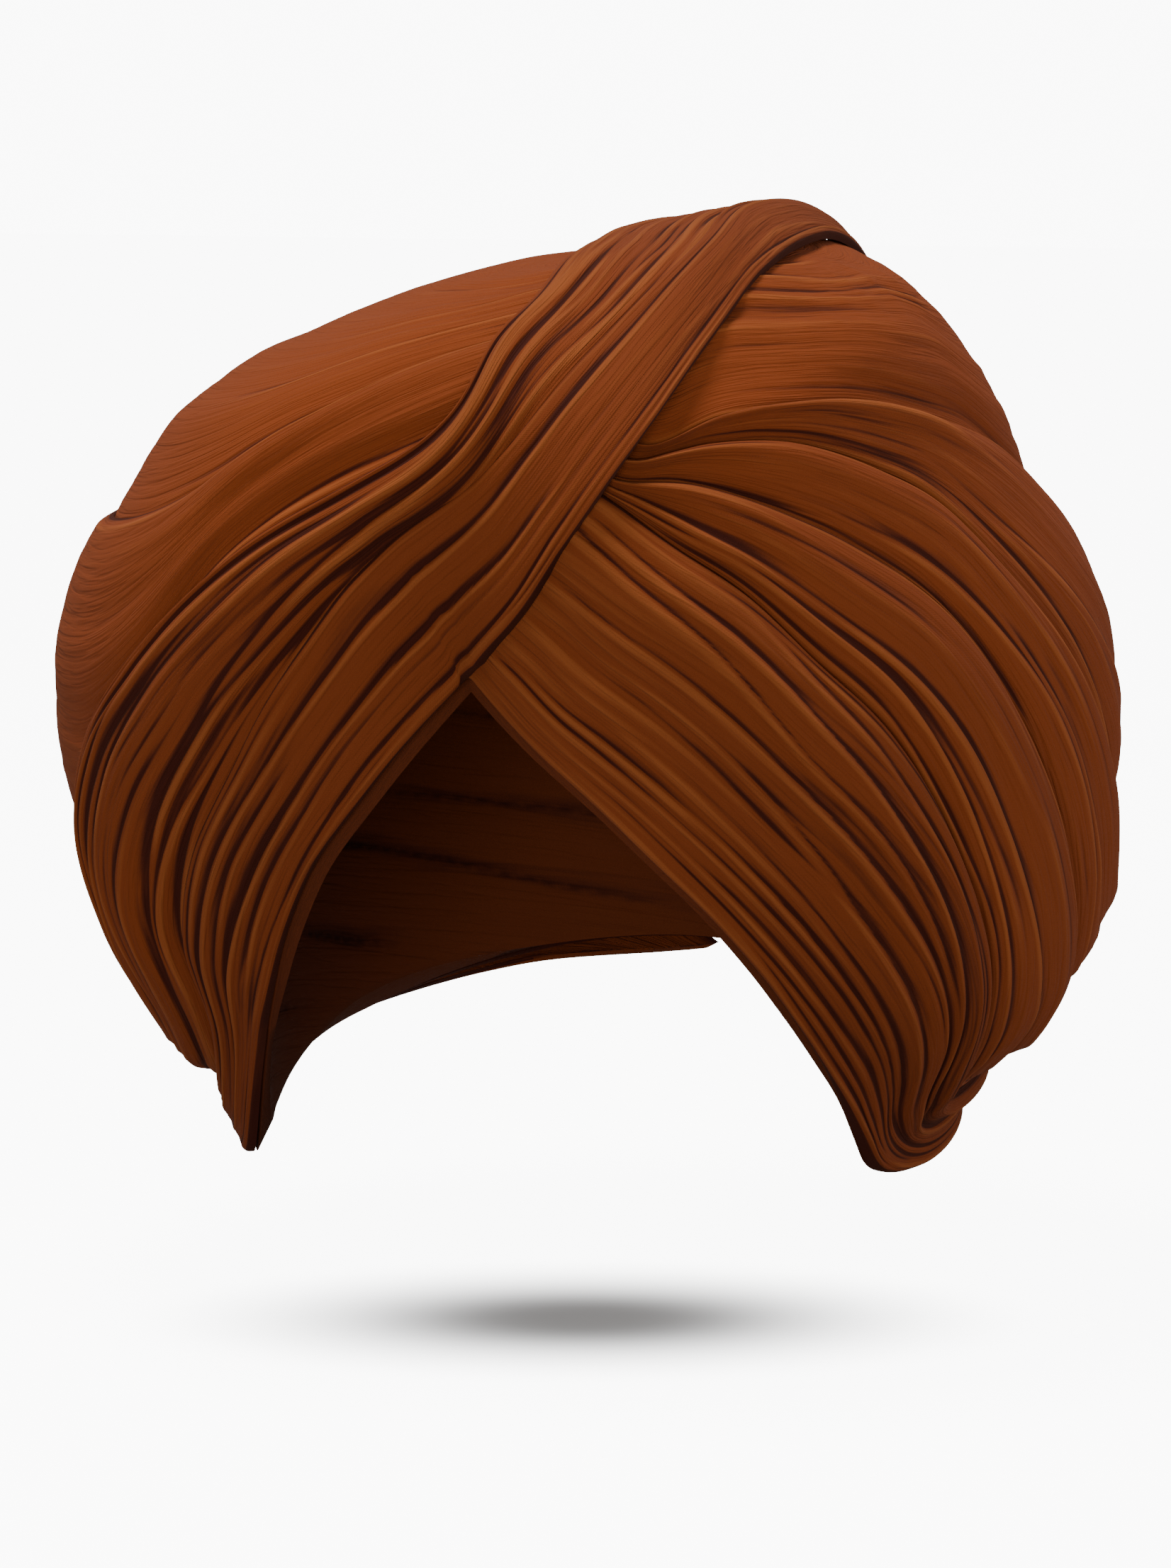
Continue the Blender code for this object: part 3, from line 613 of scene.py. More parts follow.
def form_radius(ways):
    """How far the outer form reaches in each direction, found by halving."""
    near = np.zeros(ways.shape[:-1])
    far = np.full(ways.shape[:-1], HALF_WIDTH + HALF_DEPTH + CROWN_HEIGHT)
    for _ in range(HALVINGS):
        middle = (near + far) / 2
        inside = in_form(ways * middle[..., None])
        near = np.where(inside, middle, near)
        far = np.where(inside, far, middle)
    return (near + far) / 2


def head_radius(ways):
    """The head hollow: a half ellipsoid above the ring on a straight oval wall below it."""
    up = np.maximum(ways[..., 2], 0.0) / HEAD_ROOF
    return 1 / np.sqrt((ways[..., 0] / HEAD_HALF_WIDTH) ** 2 + (ways[..., 1] / HEAD_HALF_LENGTH) ** 2 + up**2)


RIM_TURNS, RIM_RISES = spline(RIM, np.linspace(0, len(RIM) - 1, RIM_SPLIT * (len(RIM) - 1) + 1)).T
RIM_WAYS = direction(RIM_TURNS[:-1], RIM_RISES[:-1])
RIM_START = RIM[0][0]


def rim_rise(turn):
    return np.interp((np.asarray(turn, float) - RIM_START) % 360 + RIM_START, RIM_TURNS, RIM_RISES)


def rim_way(turn):
    """Directions on the lower edge. The peak belongs to both ends of the table."""
    return direction(turn, np.interp(turn, RIM_TURNS, RIM_RISES))


def nearest_spot(ways, line):
    """For each direction, the number of the line's nearest point."""
    parts = np.array_split(ways.reshape(-1, 3), 1 + ways.size // BATCH)
    return np.concatenate([(part @ line.T).argmax(1) for part in parts]).reshape(ways.shape[:-1])


def from_segment(ways, start, end):
    """How far directions lie from a short straight stretch, in radians."""
    along = end - start
    share = ((ways - start) * along).sum(-1) / (along * along).sum(-1)
    return np.linalg.norm(ways - start - along * np.clip(share, 0, 1)[..., None], axis=-1)


def from_rim(ways):
    """How far a direction lies above the lower edge, as a share of the tuck's angle, at most 1."""
    count = len(RIM_WAYS)
    spot = nearest_spot(ways, RIM_WAYS)
    middle = RIM_WAYS[spot]
    before = from_segment(ways, RIM_WAYS[(spot - 1) % count], middle)
    after = from_segment(ways, middle, RIM_WAYS[(spot + 1) % count])
    angle = np.degrees(np.minimum(before, after))
    turn = np.degrees(np.arctan2(ways[..., 0], -ways[..., 1]))
    rise = np.degrees(np.arcsin(np.clip(ways[..., 2], -1, 1)))
    return np.clip(angle / TUCK, 0, 1) * np.where(rise > rim_rise(turn), 1, -1)


def ear_roll(ways):
    """How much of the roll behind the ears thickens the lower edge in each direction."""
    turn = np.degrees(np.arctan2(ways[..., 0], -ways[..., 1])) % 360
    share = np.zeros(turn.shape)
    for start, full, fade, end in EAR_ROLLS:
        share += smooth_step((turn - start) / (full - start)) * smooth_step((end - turn) / (end - fade))
    return share


def skin_radius(ways):
    """The smooth surface that the turns lie on, drawn in to the head along the lower edge."""
    low = head_radius(ways) + EDGE + EAR_ROLL * ear_roll(ways)
    above = from_rim(ways)
    share = np.where(above > 0, 1 - (1 - above) ** 2, 2 * above)
    return low + (np.maximum(form_radius(ways), low) - low) * share


def skin_frame(ways):
    """Points on the skin and the directions square to it."""
    side = unit(np.cross(ways, SLANTED))
    up = np.cross(side, ways)
    sides = [unit(ways + PROBE * way) for way in (side, -side, up, -up)]
    east, west, north, south = [way * skin_radius(way)[..., None] for way in sides]
    normal = unit(np.cross(east - west, north - south))
    normal *= np.sign((normal * ways).sum(-1))[..., None]
    return ways * skin_radius(ways)[..., None], normal


def between(low, high, share):
    return unit(low[:, None] * (1 - share[None, :, None]) + high[:, None] * share[None, :, None])


def winding_line(line, at):
    """Directions of one line of the winding: 0 is the rim, 4 the upper side wrap's edge, 5 the crown."""
    if line == 0:
        return rim_way(spline(np.asarray(WINDING)[:, :1], at)[:, 0])
    if line == CROWN_LINE + 1:
        edge = line_of(WINDING, UPPER_SIDE_COLUMN, at)
        centre = direction(CROWN_TURN, CROWN_RISE)
        apart = np.arccos(np.clip(edge @ centre, -1, 1))[:, None]
        share = math.radians(CROWN_OPENING) / apart
        return unit(centre * np.sin((1 - share) * apart) + edge * np.sin(share * apart))
    return line_of(WINDING, 2 * line - 1, at)


def hem_way(at):
    """The last turn's hem: on the lower edge up to the peak, then free over the brow and the crown.

    The skin rises steeply from the head past the peak, so the hem dips there and looks straight.
    """
    on_rim = rim_way(spline(np.asarray(FRONT, float)[:, :1], at)[:, 0])
    dip = np.radians(np.interp(at, *zip(*PEAK_DIP)))
    free = unit(line_of(FRONT, HEM_COLUMN, at) - dip[:, None] * np.array([0.0, 0.0, 1.0]))
    return np.where((at <= PEAK_ROW)[:, None], on_rim, free)


def from_front(ways):
    """0 where the last turn presses on the turns below it, rising to 1 a little way off."""
    at = np.linspace(0, FRONT_LAST, FRONT_SPLIT * FRONT_LAST + 1)
    shares = np.linspace(0, 1, FRONT_COLUMNS + 1)
    over = between(hem_way(at), line_of(FRONT, GATHERS_COLUMN, at), shares).reshape(-1, 3)
    apart = ways - over[nearest_spot(ways, over)]
    return smooth_step((np.degrees(np.linalg.norm(apart, axis=-1)) - PRESSED) / (FREE - PRESSED))


def fine_rows(first, last):
    """Fractional row numbers of a table, finely spaced."""
    return np.linspace(first, last, round(ROWS_PER_STATION * (last - first)) + 1)


def fine_shares(columns, low=0.0):
    """Shares of a turn's width, closer together toward its edges."""
    even = np.linspace(0, 1, columns + 1)
    bunched = (1 - np.cos(math.pi * even)) / 2
    return low + (1 - low) * ((1 - EDGE_BUNCHING) * even + EDGE_BUNCHING * bunched)


def soft_noise(along, across, seed):
    """Smooth noise from -1 to 1 over two coordinates, the same in every run."""
    size = NOISE_LATTICE
    lattice = np.random.default_rng(seed).uniform(-1, 1, (size, size))
    row, column = np.floor(along).astype(int), np.floor(across).astype(int)
    u, v = smooth_step(along - row), smooth_step(across - column)
    row, column = row % size, column % size
    below = lattice[row, column] * (1 - u) + lattice[(row + 1) % size, column] * u
    above = lattice[row, (column + 1) % size] * (1 - u) + lattice[(row + 1) % size, (column + 1) % size] * u
    return below * (1 - v) + above * v


def crease_line(row, at):
    """Where a crease lies across the turn, as a share of the width, and how deep it is pressed there."""
    first, last, start, middle, end, depth = row[:6]
    t = np.clip((at - first) / (last - first), 0, 1)
    share = (1 - t) * (1 - 2 * t) * start + 4 * t * (1 - t) * middle + t * (2 * t - 1) * end
    fade = smooth_step((at - first) / FADE_STATIONS) if first > at[0] else np.ones(len(at))
    close = smooth_step((last - at) / FADE_STATIONS) if last < at[-1] else np.ones(len(at))
    return share, depth * fade * close


def averaged(values, across, reach):
    """Each row's values averaged over a reach to both sides of each point."""
    areas = (values[:, 1:] + values[:, :-1]) / 2 * np.diff(across, axis=1)
    sums = np.concatenate([np.zeros((len(values), 1)), np.cumsum(areas, 1)], 1)
    result = np.empty_like(values)
    for row, spots in enumerate(across):
        low = np.maximum(spots - reach[row], spots[0])
        high = np.minimum(spots + reach[row], spots[-1])
        total = np.interp(high, spots, sums[row]) - np.interp(low, spots, sums[row])
        result[row] = total / (high - low)
    return result


def narrowing(width, least=NARROWEST):
    """How much smaller creases and edges are where a turn is narrow, station by station."""
    return np.clip(width / NARROW, least, 1)


def press_creases(rows, at, along, across, width, depth, reach, seed):
    """How far creases press the cloth in: steep below each line, under a small lip, and gentle above."""
    pressed = np.zeros(across.shape)
    narrow = narrowing(width, NARROWEST_CREASE)[:, None]
    for number, row in enumerate(rows):
        share, strength = crease_line(row, at)
        if not strength.any():
            continue
        steep, gentle = row[6], row[7]
        own = np.full(along.shape, float(number))
        wander = soft_noise(along / WANDER_LENGTH, own * WANDER_STEP, seed) * WANDER
        depths = soft_noise(along / UNEVEN_LENGTH, own * UNEVEN_STEP, seed + UNEVEN_SEED)
        uneven = UNEVEN_LEAST + UNEVEN * depths
        weight = strength * uneven * min(1.0, SHARP_WEIGHT + BROAD_WEIGHT * gentle)
        apart = across - (share * width)[:, None] - wander[:, None] * narrow
        spread = np.where(apart < 0, steep, gentle) * reach * narrow
        fall = np.exp(VALLEY_ROUND - np.sqrt((apart / spread) ** 2 + VALLEY_ROUND**2))
        lip_reach = steep * reach * narrow
        lip = LIP * np.exp(-(((apart + LIP_PLACE * lip_reach) / (LIP_WIDTH * lip_reach)) ** 2))
        pressed += weight[:, None] * (fall - lip)
    pressed -= averaged(pressed, across, LEVELLED * narrow[:, 0])
    return -depth * PRESS_LIMIT * np.tanh(pressed / PRESS_LIMIT) * narrow**0.5


def scattered(seed, count, first, last, low, high, depth, steep, gentle):
    """Rows of smaller creases, spread unevenly over part of a turn."""
    random = np.random.default_rng(seed)
    rows = []
    for number in range(count):
        middle = low + (high - low) * (number + random.uniform(*SCATTER_PLACE)) / count
        start, end = middle + random.uniform(-SCATTER_SLANT, SCATTER_SLANT, 2)
        span = (last - first) * random.uniform(*SCATTER_SPAN)
        begin = first + (last - first - span) * random.uniform(0, 1)
        strength = depth * (SCATTER_DEPTH + random.uniform(0.0, 1.0) ** 2)
        below = steep * random.uniform(*SCATTER_BELOW)
        above = gentle * random.uniform(*SCATTER_ABOVE)
        rows.append((begin, begin + span, start, middle, end, strength, below, above))
    return rows


def strip_mesh(outer, inner):
    """Points and faces of a closed strip with a fine outer grid and an inner grid of fewer columns."""
    rows, columns = outer.shape[0] - 1, outer.shape[1] - 1
    inner_columns = inner.shape[1] - 1
    points = np.concatenate([outer.reshape(-1, 3), inner.reshape(-1, 3)])
    start = (rows + 1) * (columns + 1)
    top = np.arange(start).reshape(rows + 1, columns + 1)
    low = start + np.arange((rows + 1) * (inner_columns + 1)).reshape(rows + 1, inner_columns + 1)
    quads = [np.stack([top[:-1, :-1], top[1:, :-1], top[1:, 1:], top[:-1, 1:]], -1).reshape(-1, 4)]
    quads.append(np.stack([low[:-1, :-1], low[:-1, 1:], low[1:, 1:], low[1:, :-1]], -1).reshape(-1, 4))
    quads.append(np.stack([top[:-1, 0], low[:-1, 0], low[1:, 0], top[1:, 0]], -1))
    quads.append(np.stack([top[:-1, -1], top[1:, -1], low[1:, -1], low[:-1, -1]], -1))
    faces = np.concatenate(quads).tolist()
    faces.append(list(top[0]) + list(low[0][::-1]))
    faces.append(list(top[-1][::-1]) + list(low[-1]))
    return points, faces


def facing_out(points, faces):
    """The faces, turned round if they enclose the solid inside out."""
    corners = np.array([(face[0], face[k], face[k + 1]) for face in faces for k in range(1, len(face) - 1)])
    first, second, third = points[corners[:, 0]], points[corners[:, 1]], points[corners[:, 2]]
    volume = (first * np.cross(second, third)).sum()
    return faces if volume > 0 else [face[::-1] for face in faces]


def make_piece(name, points, faces, fold, place, material):
    """A mesh object with the cloth's own coordinates, and how far each point lies on a ridge, which sets its
    painted shade and highlight.
    """
    mesh = bpy.data.meshes.new(name)
    mesh.from_pydata(points.tolist(), [], facing_out(points, faces))
    mesh.shade_smooth()
    ridge = mesh.attributes.new("fold", "FLOAT", "POINT")
    ridge.data.foreach_set("value", np.asarray(fold, np.float32))
    spot = mesh.attributes.new("cloth_place", "FLOAT_VECTOR", "POINT")
    spot.data.foreach_set("vector", np.asarray(place, np.float32).ravel())
    mesh.set_sharp_from_angle(angle=math.radians(SHARP_ANGLE))
    mesh.materials.append(material)
    piece = bpy.data.objects.new(name, mesh)
    bpy.context.scene.collection.objects.link(piece)
    return piece


def ease_edges(relief, along, across, width, shares, taper):
    """Flattens the relief by a strip's edges and ends, and rounds off and thins out the edges."""
    edge = np.minimum(across[:, -1:] - across, across - across[:, :1])
    lip = PLY * EDGE_ROUND
    round_off = lip - np.sqrt(np.maximum(lip**2 - np.clip(lip - edge, 0, lip) ** 2, 0))
    end = np.minimum(along, along[-1] - along)[:, None]
    relief = relief * smooth_step(edge / EDGE_FLAT) * smooth_step(end / END_FLAT)
    relief *= smooth_step(1 + shares / TUCKED_FLAT)[None, :]
    from_top = (across[:, -1:] - across) / (TAPER_REACH * narrowing(width)[:, None])
    relief -= np.broadcast_to(taper, along.shape)[:, None] * (1 - smooth_step(from_top)) + round_off
    return np.maximum(relief, -DEEPEST * PLY)


def fold_of(relief, at, across, width, painted_light):
    """How far each point lies on a ridge, from 0 in a crease to 1, plus the painted light of its station,
    which is painted shade where below 0.
    """
    near = narrowing(width)
    broad = (relief - averaged(relief, across, SHADED * near)) / SHADE_DEPTH
    lined = (relief - averaged(relief, across, LINED * near)) / LINE_DEPTH
    lighter = np.interp(at, *zip(*painted_light))[:, None]
    return np.clip(FLAT_FOLD + lighter + broad + np.clip(lined, LINE_DARKEST, LINE_LIGHTEST), 0, 1)


def lay_strip(name, at, ways, height, shares, look, material, painted_light, drop=None, taper=TAPER, thick=PLY):
    """Lays a strip of cloth on the skin, presses its creases and returns the piece.

    The pairs of stations and values give how much lighter the colour is painted at each station: painted
    light, and painted shade where below 0. The first edge hangs down by drop, the last one thins out by
    taper, and the ply is thick, each row by row or all along.
    """
    points, normal = skin_frame(ways)
    base = points + normal * height[..., None]
    if drop is not None:
        from_hem = np.linalg.norm(base - base[:, :1], axis=-1)
        base = base - normal * (drop[:, None] * (1 - smooth_step(from_hem / DROP_REACH)))[..., None]
    steps = np.linalg.norm(np.diff(base, axis=1), axis=-1)
    across = np.concatenate([np.zeros((len(at), 1)), np.cumsum(steps, 1)], 1)
    origin = np.array([np.interp(0.0, shares, row) for row in across])
    width = across[:, -1] - origin
    across = across - origin[:, None]
    middle = base[:, base.shape[1] // 2]
    along = np.concatenate([[0], np.cumsum(np.linalg.norm(np.diff(middle, axis=0), axis=1))])
    spread = across / width[:, None] * width.max()
    relief = ease_edges(look(at, along, across, spread, width), along, across, width, shares, taper)
    outer = base + normal * relief[..., None]
    few = np.round(np.linspace(0, len(shares) - 1, INNER_SHARES)).astype(int)
    inner = (base - normal * np.broadcast_to(thick, at.shape)[:, None, None])[:, few]
    mesh_points, faces = strip_mesh(outer, inner)
    fold = fold_of(relief, at, across, width, painted_light)
    place = np.stack([np.broadcast_to(along[:, None], across.shape), spread, np.zeros(across.shape)], -1)
    # The ply's under side keeps only a share of its fold value, which paints it in shade
    fold = np.concatenate([fold.ravel(), fold[:, few].ravel() * UNDER_SIDE_SHADING])
    place = np.concatenate([place.reshape(-1, 3), place[:, few].reshape(-1, 3)])
    return make_piece(name, mesh_points, faces, fold, place, material)


def winding_ways(line, at, shares):
    """Directions over one turn of the winding. Shares below 0 are tucked under the turn before it."""
    low, high = winding_line(line, at), winding_line(line + 1, at)
    ways = between(low, high, shares)
    if line > 0:
        lower = winding_line(line - 1, at)
        tucked = shares < 0
        ways[:, tucked] = unit(low[:, None] - shares[tucked][None, :, None] * (lower - low)[:, None])
    return ways


def winding_height(line, at, ways, shares, rolls):
    """How high a turn of the winding lies: level by level, rolled between its edges, with creases."""
    across = np.clip(shares, 0, 1)[None, :]
    upper_side = line == UPPER_SIDE_LINE
    top_level = 0.0 if line == CROWN_LINE else 1.0
    if upper_side:
        top_level = spline(np.asarray(WINDING)[:, LEVEL_COLUMN:], at)
    sooner = (top_level - 1) * (STEP_END - STEP_START) if upper_side else 0.0
    level = top_level * smooth_step((across + sooner - STEP_START) / (STEP_END - STEP_START))
    swell = np.sin(math.pi * across) ** ROUNDNESS
    if line >= UPPER_SIDE_LINE:
        valley = np.interp(at, *zip(*DOME_VALLEY))[:, None]
        facing = across > 0.5 if upper_side else across < 0.5
        swell = np.where(facing, 1 - (1 - swell) * valley, swell)
    roll = ROLL * np.interp(at, ROLL_ROWS, rolls)[:, None] * from_front(ways)
    sink = CREASE * np.clip(from_rim(ways), 0, 1) * (1 - np.clip(level - 1, 0, 1))
    return (level - MIDDLE_LEVEL) * PITCH + roll * swell - sink * (1 - swell)


def winding_look(name, creases, waves=1.0, calm=ALL_KEPT):
    """A function that gives the relief of a turn from its creases and its own randomness.

    The height of the waves is a share of the setting, and the pairs in calm are stations and the share
    of the relief that is kept there.
    """
    crease_seed, seed, *spread_over = SCATTERED[name]
    fine = scattered(crease_seed, *spread_over)
    settings = bpy.context.scene.turban_cloth
    depth, wave_height = settings.fold_depth, settings.wave_height * waves

    def look(at, along, across, spread, width):
        relief = press_creases(list(creases) + fine, at, along, across, width, depth, FOLD_REACH, seed)
        wander = soft_noise(along / WAVE_WANDER_LENGTH, np.zeros(len(along)), seed + 1)[:, None] * WAVE_WANDER
        far = along[:, None]
        wide = soft_noise(far / WAVE_LENGTH, (spread + wander) / WAVE_WIDTH, seed + 2)
        small = soft_noise(far / FINE_LENGTH, (spread + FINE_SLANT * far) / FINE_WIDTH, seed + 3)
        thin = soft_noise(far / THIN_LENGTH, (spread + THIN_SLANT * far) / THIN_WIDTH, seed + 4)
        uneven = wave_height * wide + FINE_WRINKLES * small + THIN_WRINKLES * thin
        relief = relief + narrowing(width)[:, None] * uneven
        return relief * np.interp(at, *zip(*calm))[:, None]

    return look


def value_socket(group, name, kind, into, default=None):
    socket = group.interface.new_socket(name=name, in_out=into, socket_type=kind)
    if default is not None:
        socket.default_value = default
    return socket


def add_node(tree, kind, **settings):
    node = tree.nodes.new(kind)
    for name, value in settings.items():
        setattr(node, name, value)
    return node


def math_node(tree, operation, first, second=None):
    node = add_node(tree, "ShaderNodeMath", operation=operation)
    for socket, value in zip(node.inputs, (first, second)):
        if value is None:
            continue
        if isinstance(value, (int, float)):
            socket.default_value = value
        else:
            tree.links.new(value, socket)
    return node.outputs[0]


def weighted_sum(tree, parts):
    """The sum of sockets, each times its share."""
    total = None
    for socket, share in parts:
        weighted = math_node(tree, "MULTIPLY", socket, share)
        total = weighted if total is None else math_node(tree, "ADD", total, weighted)
    return total


def smooth_range(tree, value, low, high, kind="SMOOTHSTEP"):
    """A value that grows smoothly from 0 at one limit to 1 at the other."""
    node = add_node(tree, "ShaderNodeMapRange", interpolation_type=kind)
    node.inputs["From Min"].default_value = low
    node.inputs["From Max"].default_value = high
    tree.links.new(value, node.inputs["Value"])
    return node.outputs["Result"]


def mixed(tree, share, first, second):
    """The first colour, turned into the second by a share."""
    node = add_node(tree, "ShaderNodeMix", data_type="RGBA")
    for name, socket in (("Factor", share), ("A", first), ("B", second)):
        tree.links.new(socket, node.inputs[name])
    return node.outputs["Result"]


def stretched_noise(tree, place, stretch, scale, detail):
    """Noise over the cloth's own coordinates, stretched along its length."""
    mapping = add_node(tree, "ShaderNodeMapping")
    mapping.inputs["Scale"].default_value = stretch
    tree.links.new(place, mapping.inputs["Vector"])
    noise = add_node(tree, "ShaderNodeTexNoise")
    noise.inputs["Scale"].default_value = scale
    noise.inputs["Detail"].default_value = detail
    noise.inputs["Roughness"].default_value = NOISE_ROUGHNESS
    tree.links.new(mapping.outputs["Vector"], noise.inputs["Vector"])
    return noise.outputs["Fac"]


def weave_group():
    """Plain weave: threads over and under each other, with thicker threads here and there."""
    group = bpy.data.node_groups.new("voile_weave", "ShaderNodeTree")
    value_socket(group, "Place", "NodeSocketVector", "INPUT")
    value_socket(group, "Thread", "NodeSocketFloat", "INPUT", 0.0004)
    value_socket(group, "Height", "NodeSocketFloat", "OUTPUT")
    value_socket(group, "Slubs", "NodeSocketFloat", "OUTPUT")
    enter = add_node(group, "NodeGroupInput")
    leave = add_node(group, "NodeGroupOutput")
    split = add_node(group, "ShaderNodeSeparateXYZ")
    group.links.new(enter.outputs["Place"], split.inputs[0])
    turns = math_node(group, "DIVIDE", math.pi, enter.outputs["Thread"])
    warp = math_node(group, "SINE", math_node(group, "MULTIPLY", split.outputs[0], turns))
    weft = math_node(group, "SINE", math_node(group, "MULTIPLY", split.outputs[1], turns))
    threads = math_node(group, "MULTIPLY", warp, weft)
    warp_slubs = stretched_noise(group, enter.outputs["Place"], *WARP_SLUBS)
    weft_slubs = stretched_noise(group, enter.outputs["Place"], *WEFT_SLUBS)
    slubs = weighted_sum(group, ((warp_slubs, 1.0), (weft_slubs, WEFT_SHARE)))
    height = weighted_sum(group, ((threads, THREAD_SHARE), (slubs, 1.0)))
    group.links.new(height, leave.inputs["Height"])
    group.links.new(slubs, leave.inputs["Slubs"])
    return group


def wrinkle_group():
    """Fine sharp wrinkles drawn out along the cloth: 1 between them and 0 in their narrow valleys."""
    group = bpy.data.node_groups.new("drawn_wrinkles", "ShaderNodeTree")
    value_socket(group, "Place", "NodeSocketVector", "INPUT")
    value_socket(group, "Height", "NodeSocketFloat", "OUTPUT")
    enter = add_node(group, "NodeGroupInput")
    leave = add_node(group, "NodeGroupOutput")
    heights = []
    for noise, width, share in WRINKLES:
        waves = stretched_noise(group, enter.outputs["Place"], *noise)
        apart = math_node(group, "ABSOLUTE", math_node(group, "SUBTRACT", waves, 0.5))
        heights.append((smooth_range(group, apart, 0.0, width / 2, "SMOOTHERSTEP"), share))
    group.links.new(weighted_sum(group, heights), leave.inputs["Height"])
    return group


def dye_and_shading_group():
    """The colour: painted shade in the creases, painted highlight on the ridges, and the dye slightly uneven
    all over.
    """
    group = bpy.data.node_groups.new("uneven_dye", "ShaderNodeTree")
    value_socket(group, "Place", "NodeSocketVector", "INPUT")
    value_socket(group, "Fold", "NodeSocketFloat", "INPUT", 0.5)
    value_socket(group, "Slubs", "NodeSocketFloat", "INPUT", 0.5)
    # Of these colours the first is painted shade for the creases, the second the dye and the third painted
    # highlight for the ridges
    for name in ("Deep", "Cloth", "Rubbed"):
        value_socket(group, name, "NodeSocketColor", "INPUT")
    value_socket(group, "Color", "NodeSocketColor", "OUTPUT")
    value_socket(group, "Matte", "NodeSocketFloat", "OUTPUT")
    enter = add_node(group, "NodeGroupInput")
    leave = add_node(group, "NodeGroupOutput")
    patches = stretched_noise(group, enter.outputs["Place"], *DYE_PATCHES)
    streaks = stretched_noise(group, enter.outputs["Place"], *DYE_STREAKS)
    shares = ((patches, PATCH_SHARE), (streaks, STREAK_SHARE), (enter.outputs["Slubs"], SLUB_SHARE))
    uneven = weighted_sum(group, shares)
    # The fold value, with the dye's unevenness, sets where the creases get painted shade and the ridges
    # painted highlight
    fold = math_node(group, "ADD", enter.outputs["Fold"], math_node(group, "SUBTRACT", uneven, UNEVEN_MIDDLE))
    dark = smooth_range(group, fold, *CREASE_SHADE_RANGE)
    light = smooth_range(group, fold, *RIDGE_HIGHLIGHT_RANGE)
    dyed = mixed(group, dark, enter.outputs["Deep"], enter.outputs["Cloth"])
    group.links.new(mixed(group, light, dyed, enter.outputs["Rubbed"]), leave.inputs["Color"])
    matte = math_node(group, "ADD", MATTE_LEAST, math_node(group, "MULTIPLY", uneven, MATTE_SHARE))
    group.links.new(matte, leave.inputs["Matte"])
    return group


def shared_group(name, make):
    return bpy.data.node_groups.get(name) or make()


def voile(name, deep, cloth, ridge_highlight):
    """Matte dyed cotton voile, with painted shade in its creases and fine wrinkles and painted highlight on
    its ridges.
    """
    settings = bpy.context.scene.turban_cloth
    material = bpy.data.materials.new(name)
    material.use_nodes = True
    tree = material.node_tree
    shader = tree.nodes["Principled BSDF"]
    place = add_node(tree, "ShaderNodeAttribute", attribute_name="cloth_place")
    fold = add_node(tree, "ShaderNodeAttribute", attribute_name="fold")
    weave = add_node(tree, "ShaderNodeGroup", node_tree=shared_group("voile_weave", weave_group))
    weave.inputs["Thread"].default_value = settings.thread
    tree.links.new(place.outputs["Vector"], weave.inputs["Place"])
    dye_and_shading = add_node(tree, "ShaderNodeGroup", node_tree=shared_group("uneven_dye", dye_and_shading_group))
    dye_and_shading.inputs["Deep"].default_value = deep
    dye_and_shading.inputs["Cloth"].default_value = cloth
    dye_and_shading.inputs["Rubbed"].default_value = ridge_highlight
    tree.links.new(place.outputs["Vector"], dye_and_shading.inputs["Place"])
    wrinkles = add_node(tree, "ShaderNodeGroup", node_tree=shared_group("drawn_wrinkles", wrinkle_group))
    tree.links.new(place.outputs["Vector"], wrinkles.inputs["Place"])
    # The fine wrinkles' valleys get painted shade, added to the fold value
    apart = math_node(tree, "SUBTRACT", wrinkles.outputs["Height"], WRINKLE_LEVEL)
    painted_light = math_node(tree, "MULTIPLY", apart, WRINKLE_PAINTED_SHADE)
    tree.links.new(math_node(tree, "ADD", fold.outputs["Fac"], painted_light), dye_and_shading.inputs["Fold"])
    tree.links.new(weave.outputs["Slubs"], dye_and_shading.inputs["Slubs"])
    tree.links.new(dye_and_shading.outputs["Color"], shader.inputs["Base Color"])
    tree.links.new(dye_and_shading.outputs["Matte"], shader.inputs["Roughness"])
    drawn = add_node(tree, "ShaderNodeBump")
    drawn.inputs["Strength"].default_value = WRINKLE_BUMP
    drawn.inputs["Distance"].default_value = settings.wrinkle_depth
    tree.links.new(wrinkles.outputs["Height"], drawn.inputs["Height"])
    bump = add_node(tree, "ShaderNodeBump")
    tree.links.new(drawn.outputs["Normal"], bump.inputs["Normal"])
    bump.inputs["Strength"].default_value = WEAVE_BUMP
    bump.inputs["Distance"].default_value = settings.weave_depth
    tree.links.new(weave.outputs["Height"], bump.inputs["Height"])
    tree.links.new(bump.outputs["Normal"], shader.inputs["Normal"])
    shader.inputs["Specular IOR Level"].default_value = SPECULAR
    shader.inputs["Sheen Weight"].default_value = SHEEN
    shader.inputs["Sheen Roughness"].default_value = SHEEN_ROUGHNESS
    shader.inputs["Sheen Tint"].default_value = ridge_highlight
    return material


def cloth_of(name, painted_light_scale):
    """The voile of one piece, its three colours scaled by the piece's painted light: lighter above 1 and
    painted in shade below 1.
    """
    settings = bpy.context.scene.turban_cloth
    colours = [
        tuple(channel * painted_light_scale for channel in colour[:3]) + (1.0,)
        for colour in (settings.deep, settings.cloth, settings.ridge_highlight)
    ]
    return voile(name + "_voile", *colours)


def finish_piece(piece, node):
    """Fastens a piece to the part and hides the imported mesh that it stands for."""
    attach(piece, "root")
    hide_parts(node)
    return piece


def turn_height(levels, share):
    """Height over the skin of a turn whose level goes from one column of levels to the other."""
    return (levels[:, :1] * (1 - share) + levels[:, 1:] * share - MIDDLE_LEVEL) * PITCH


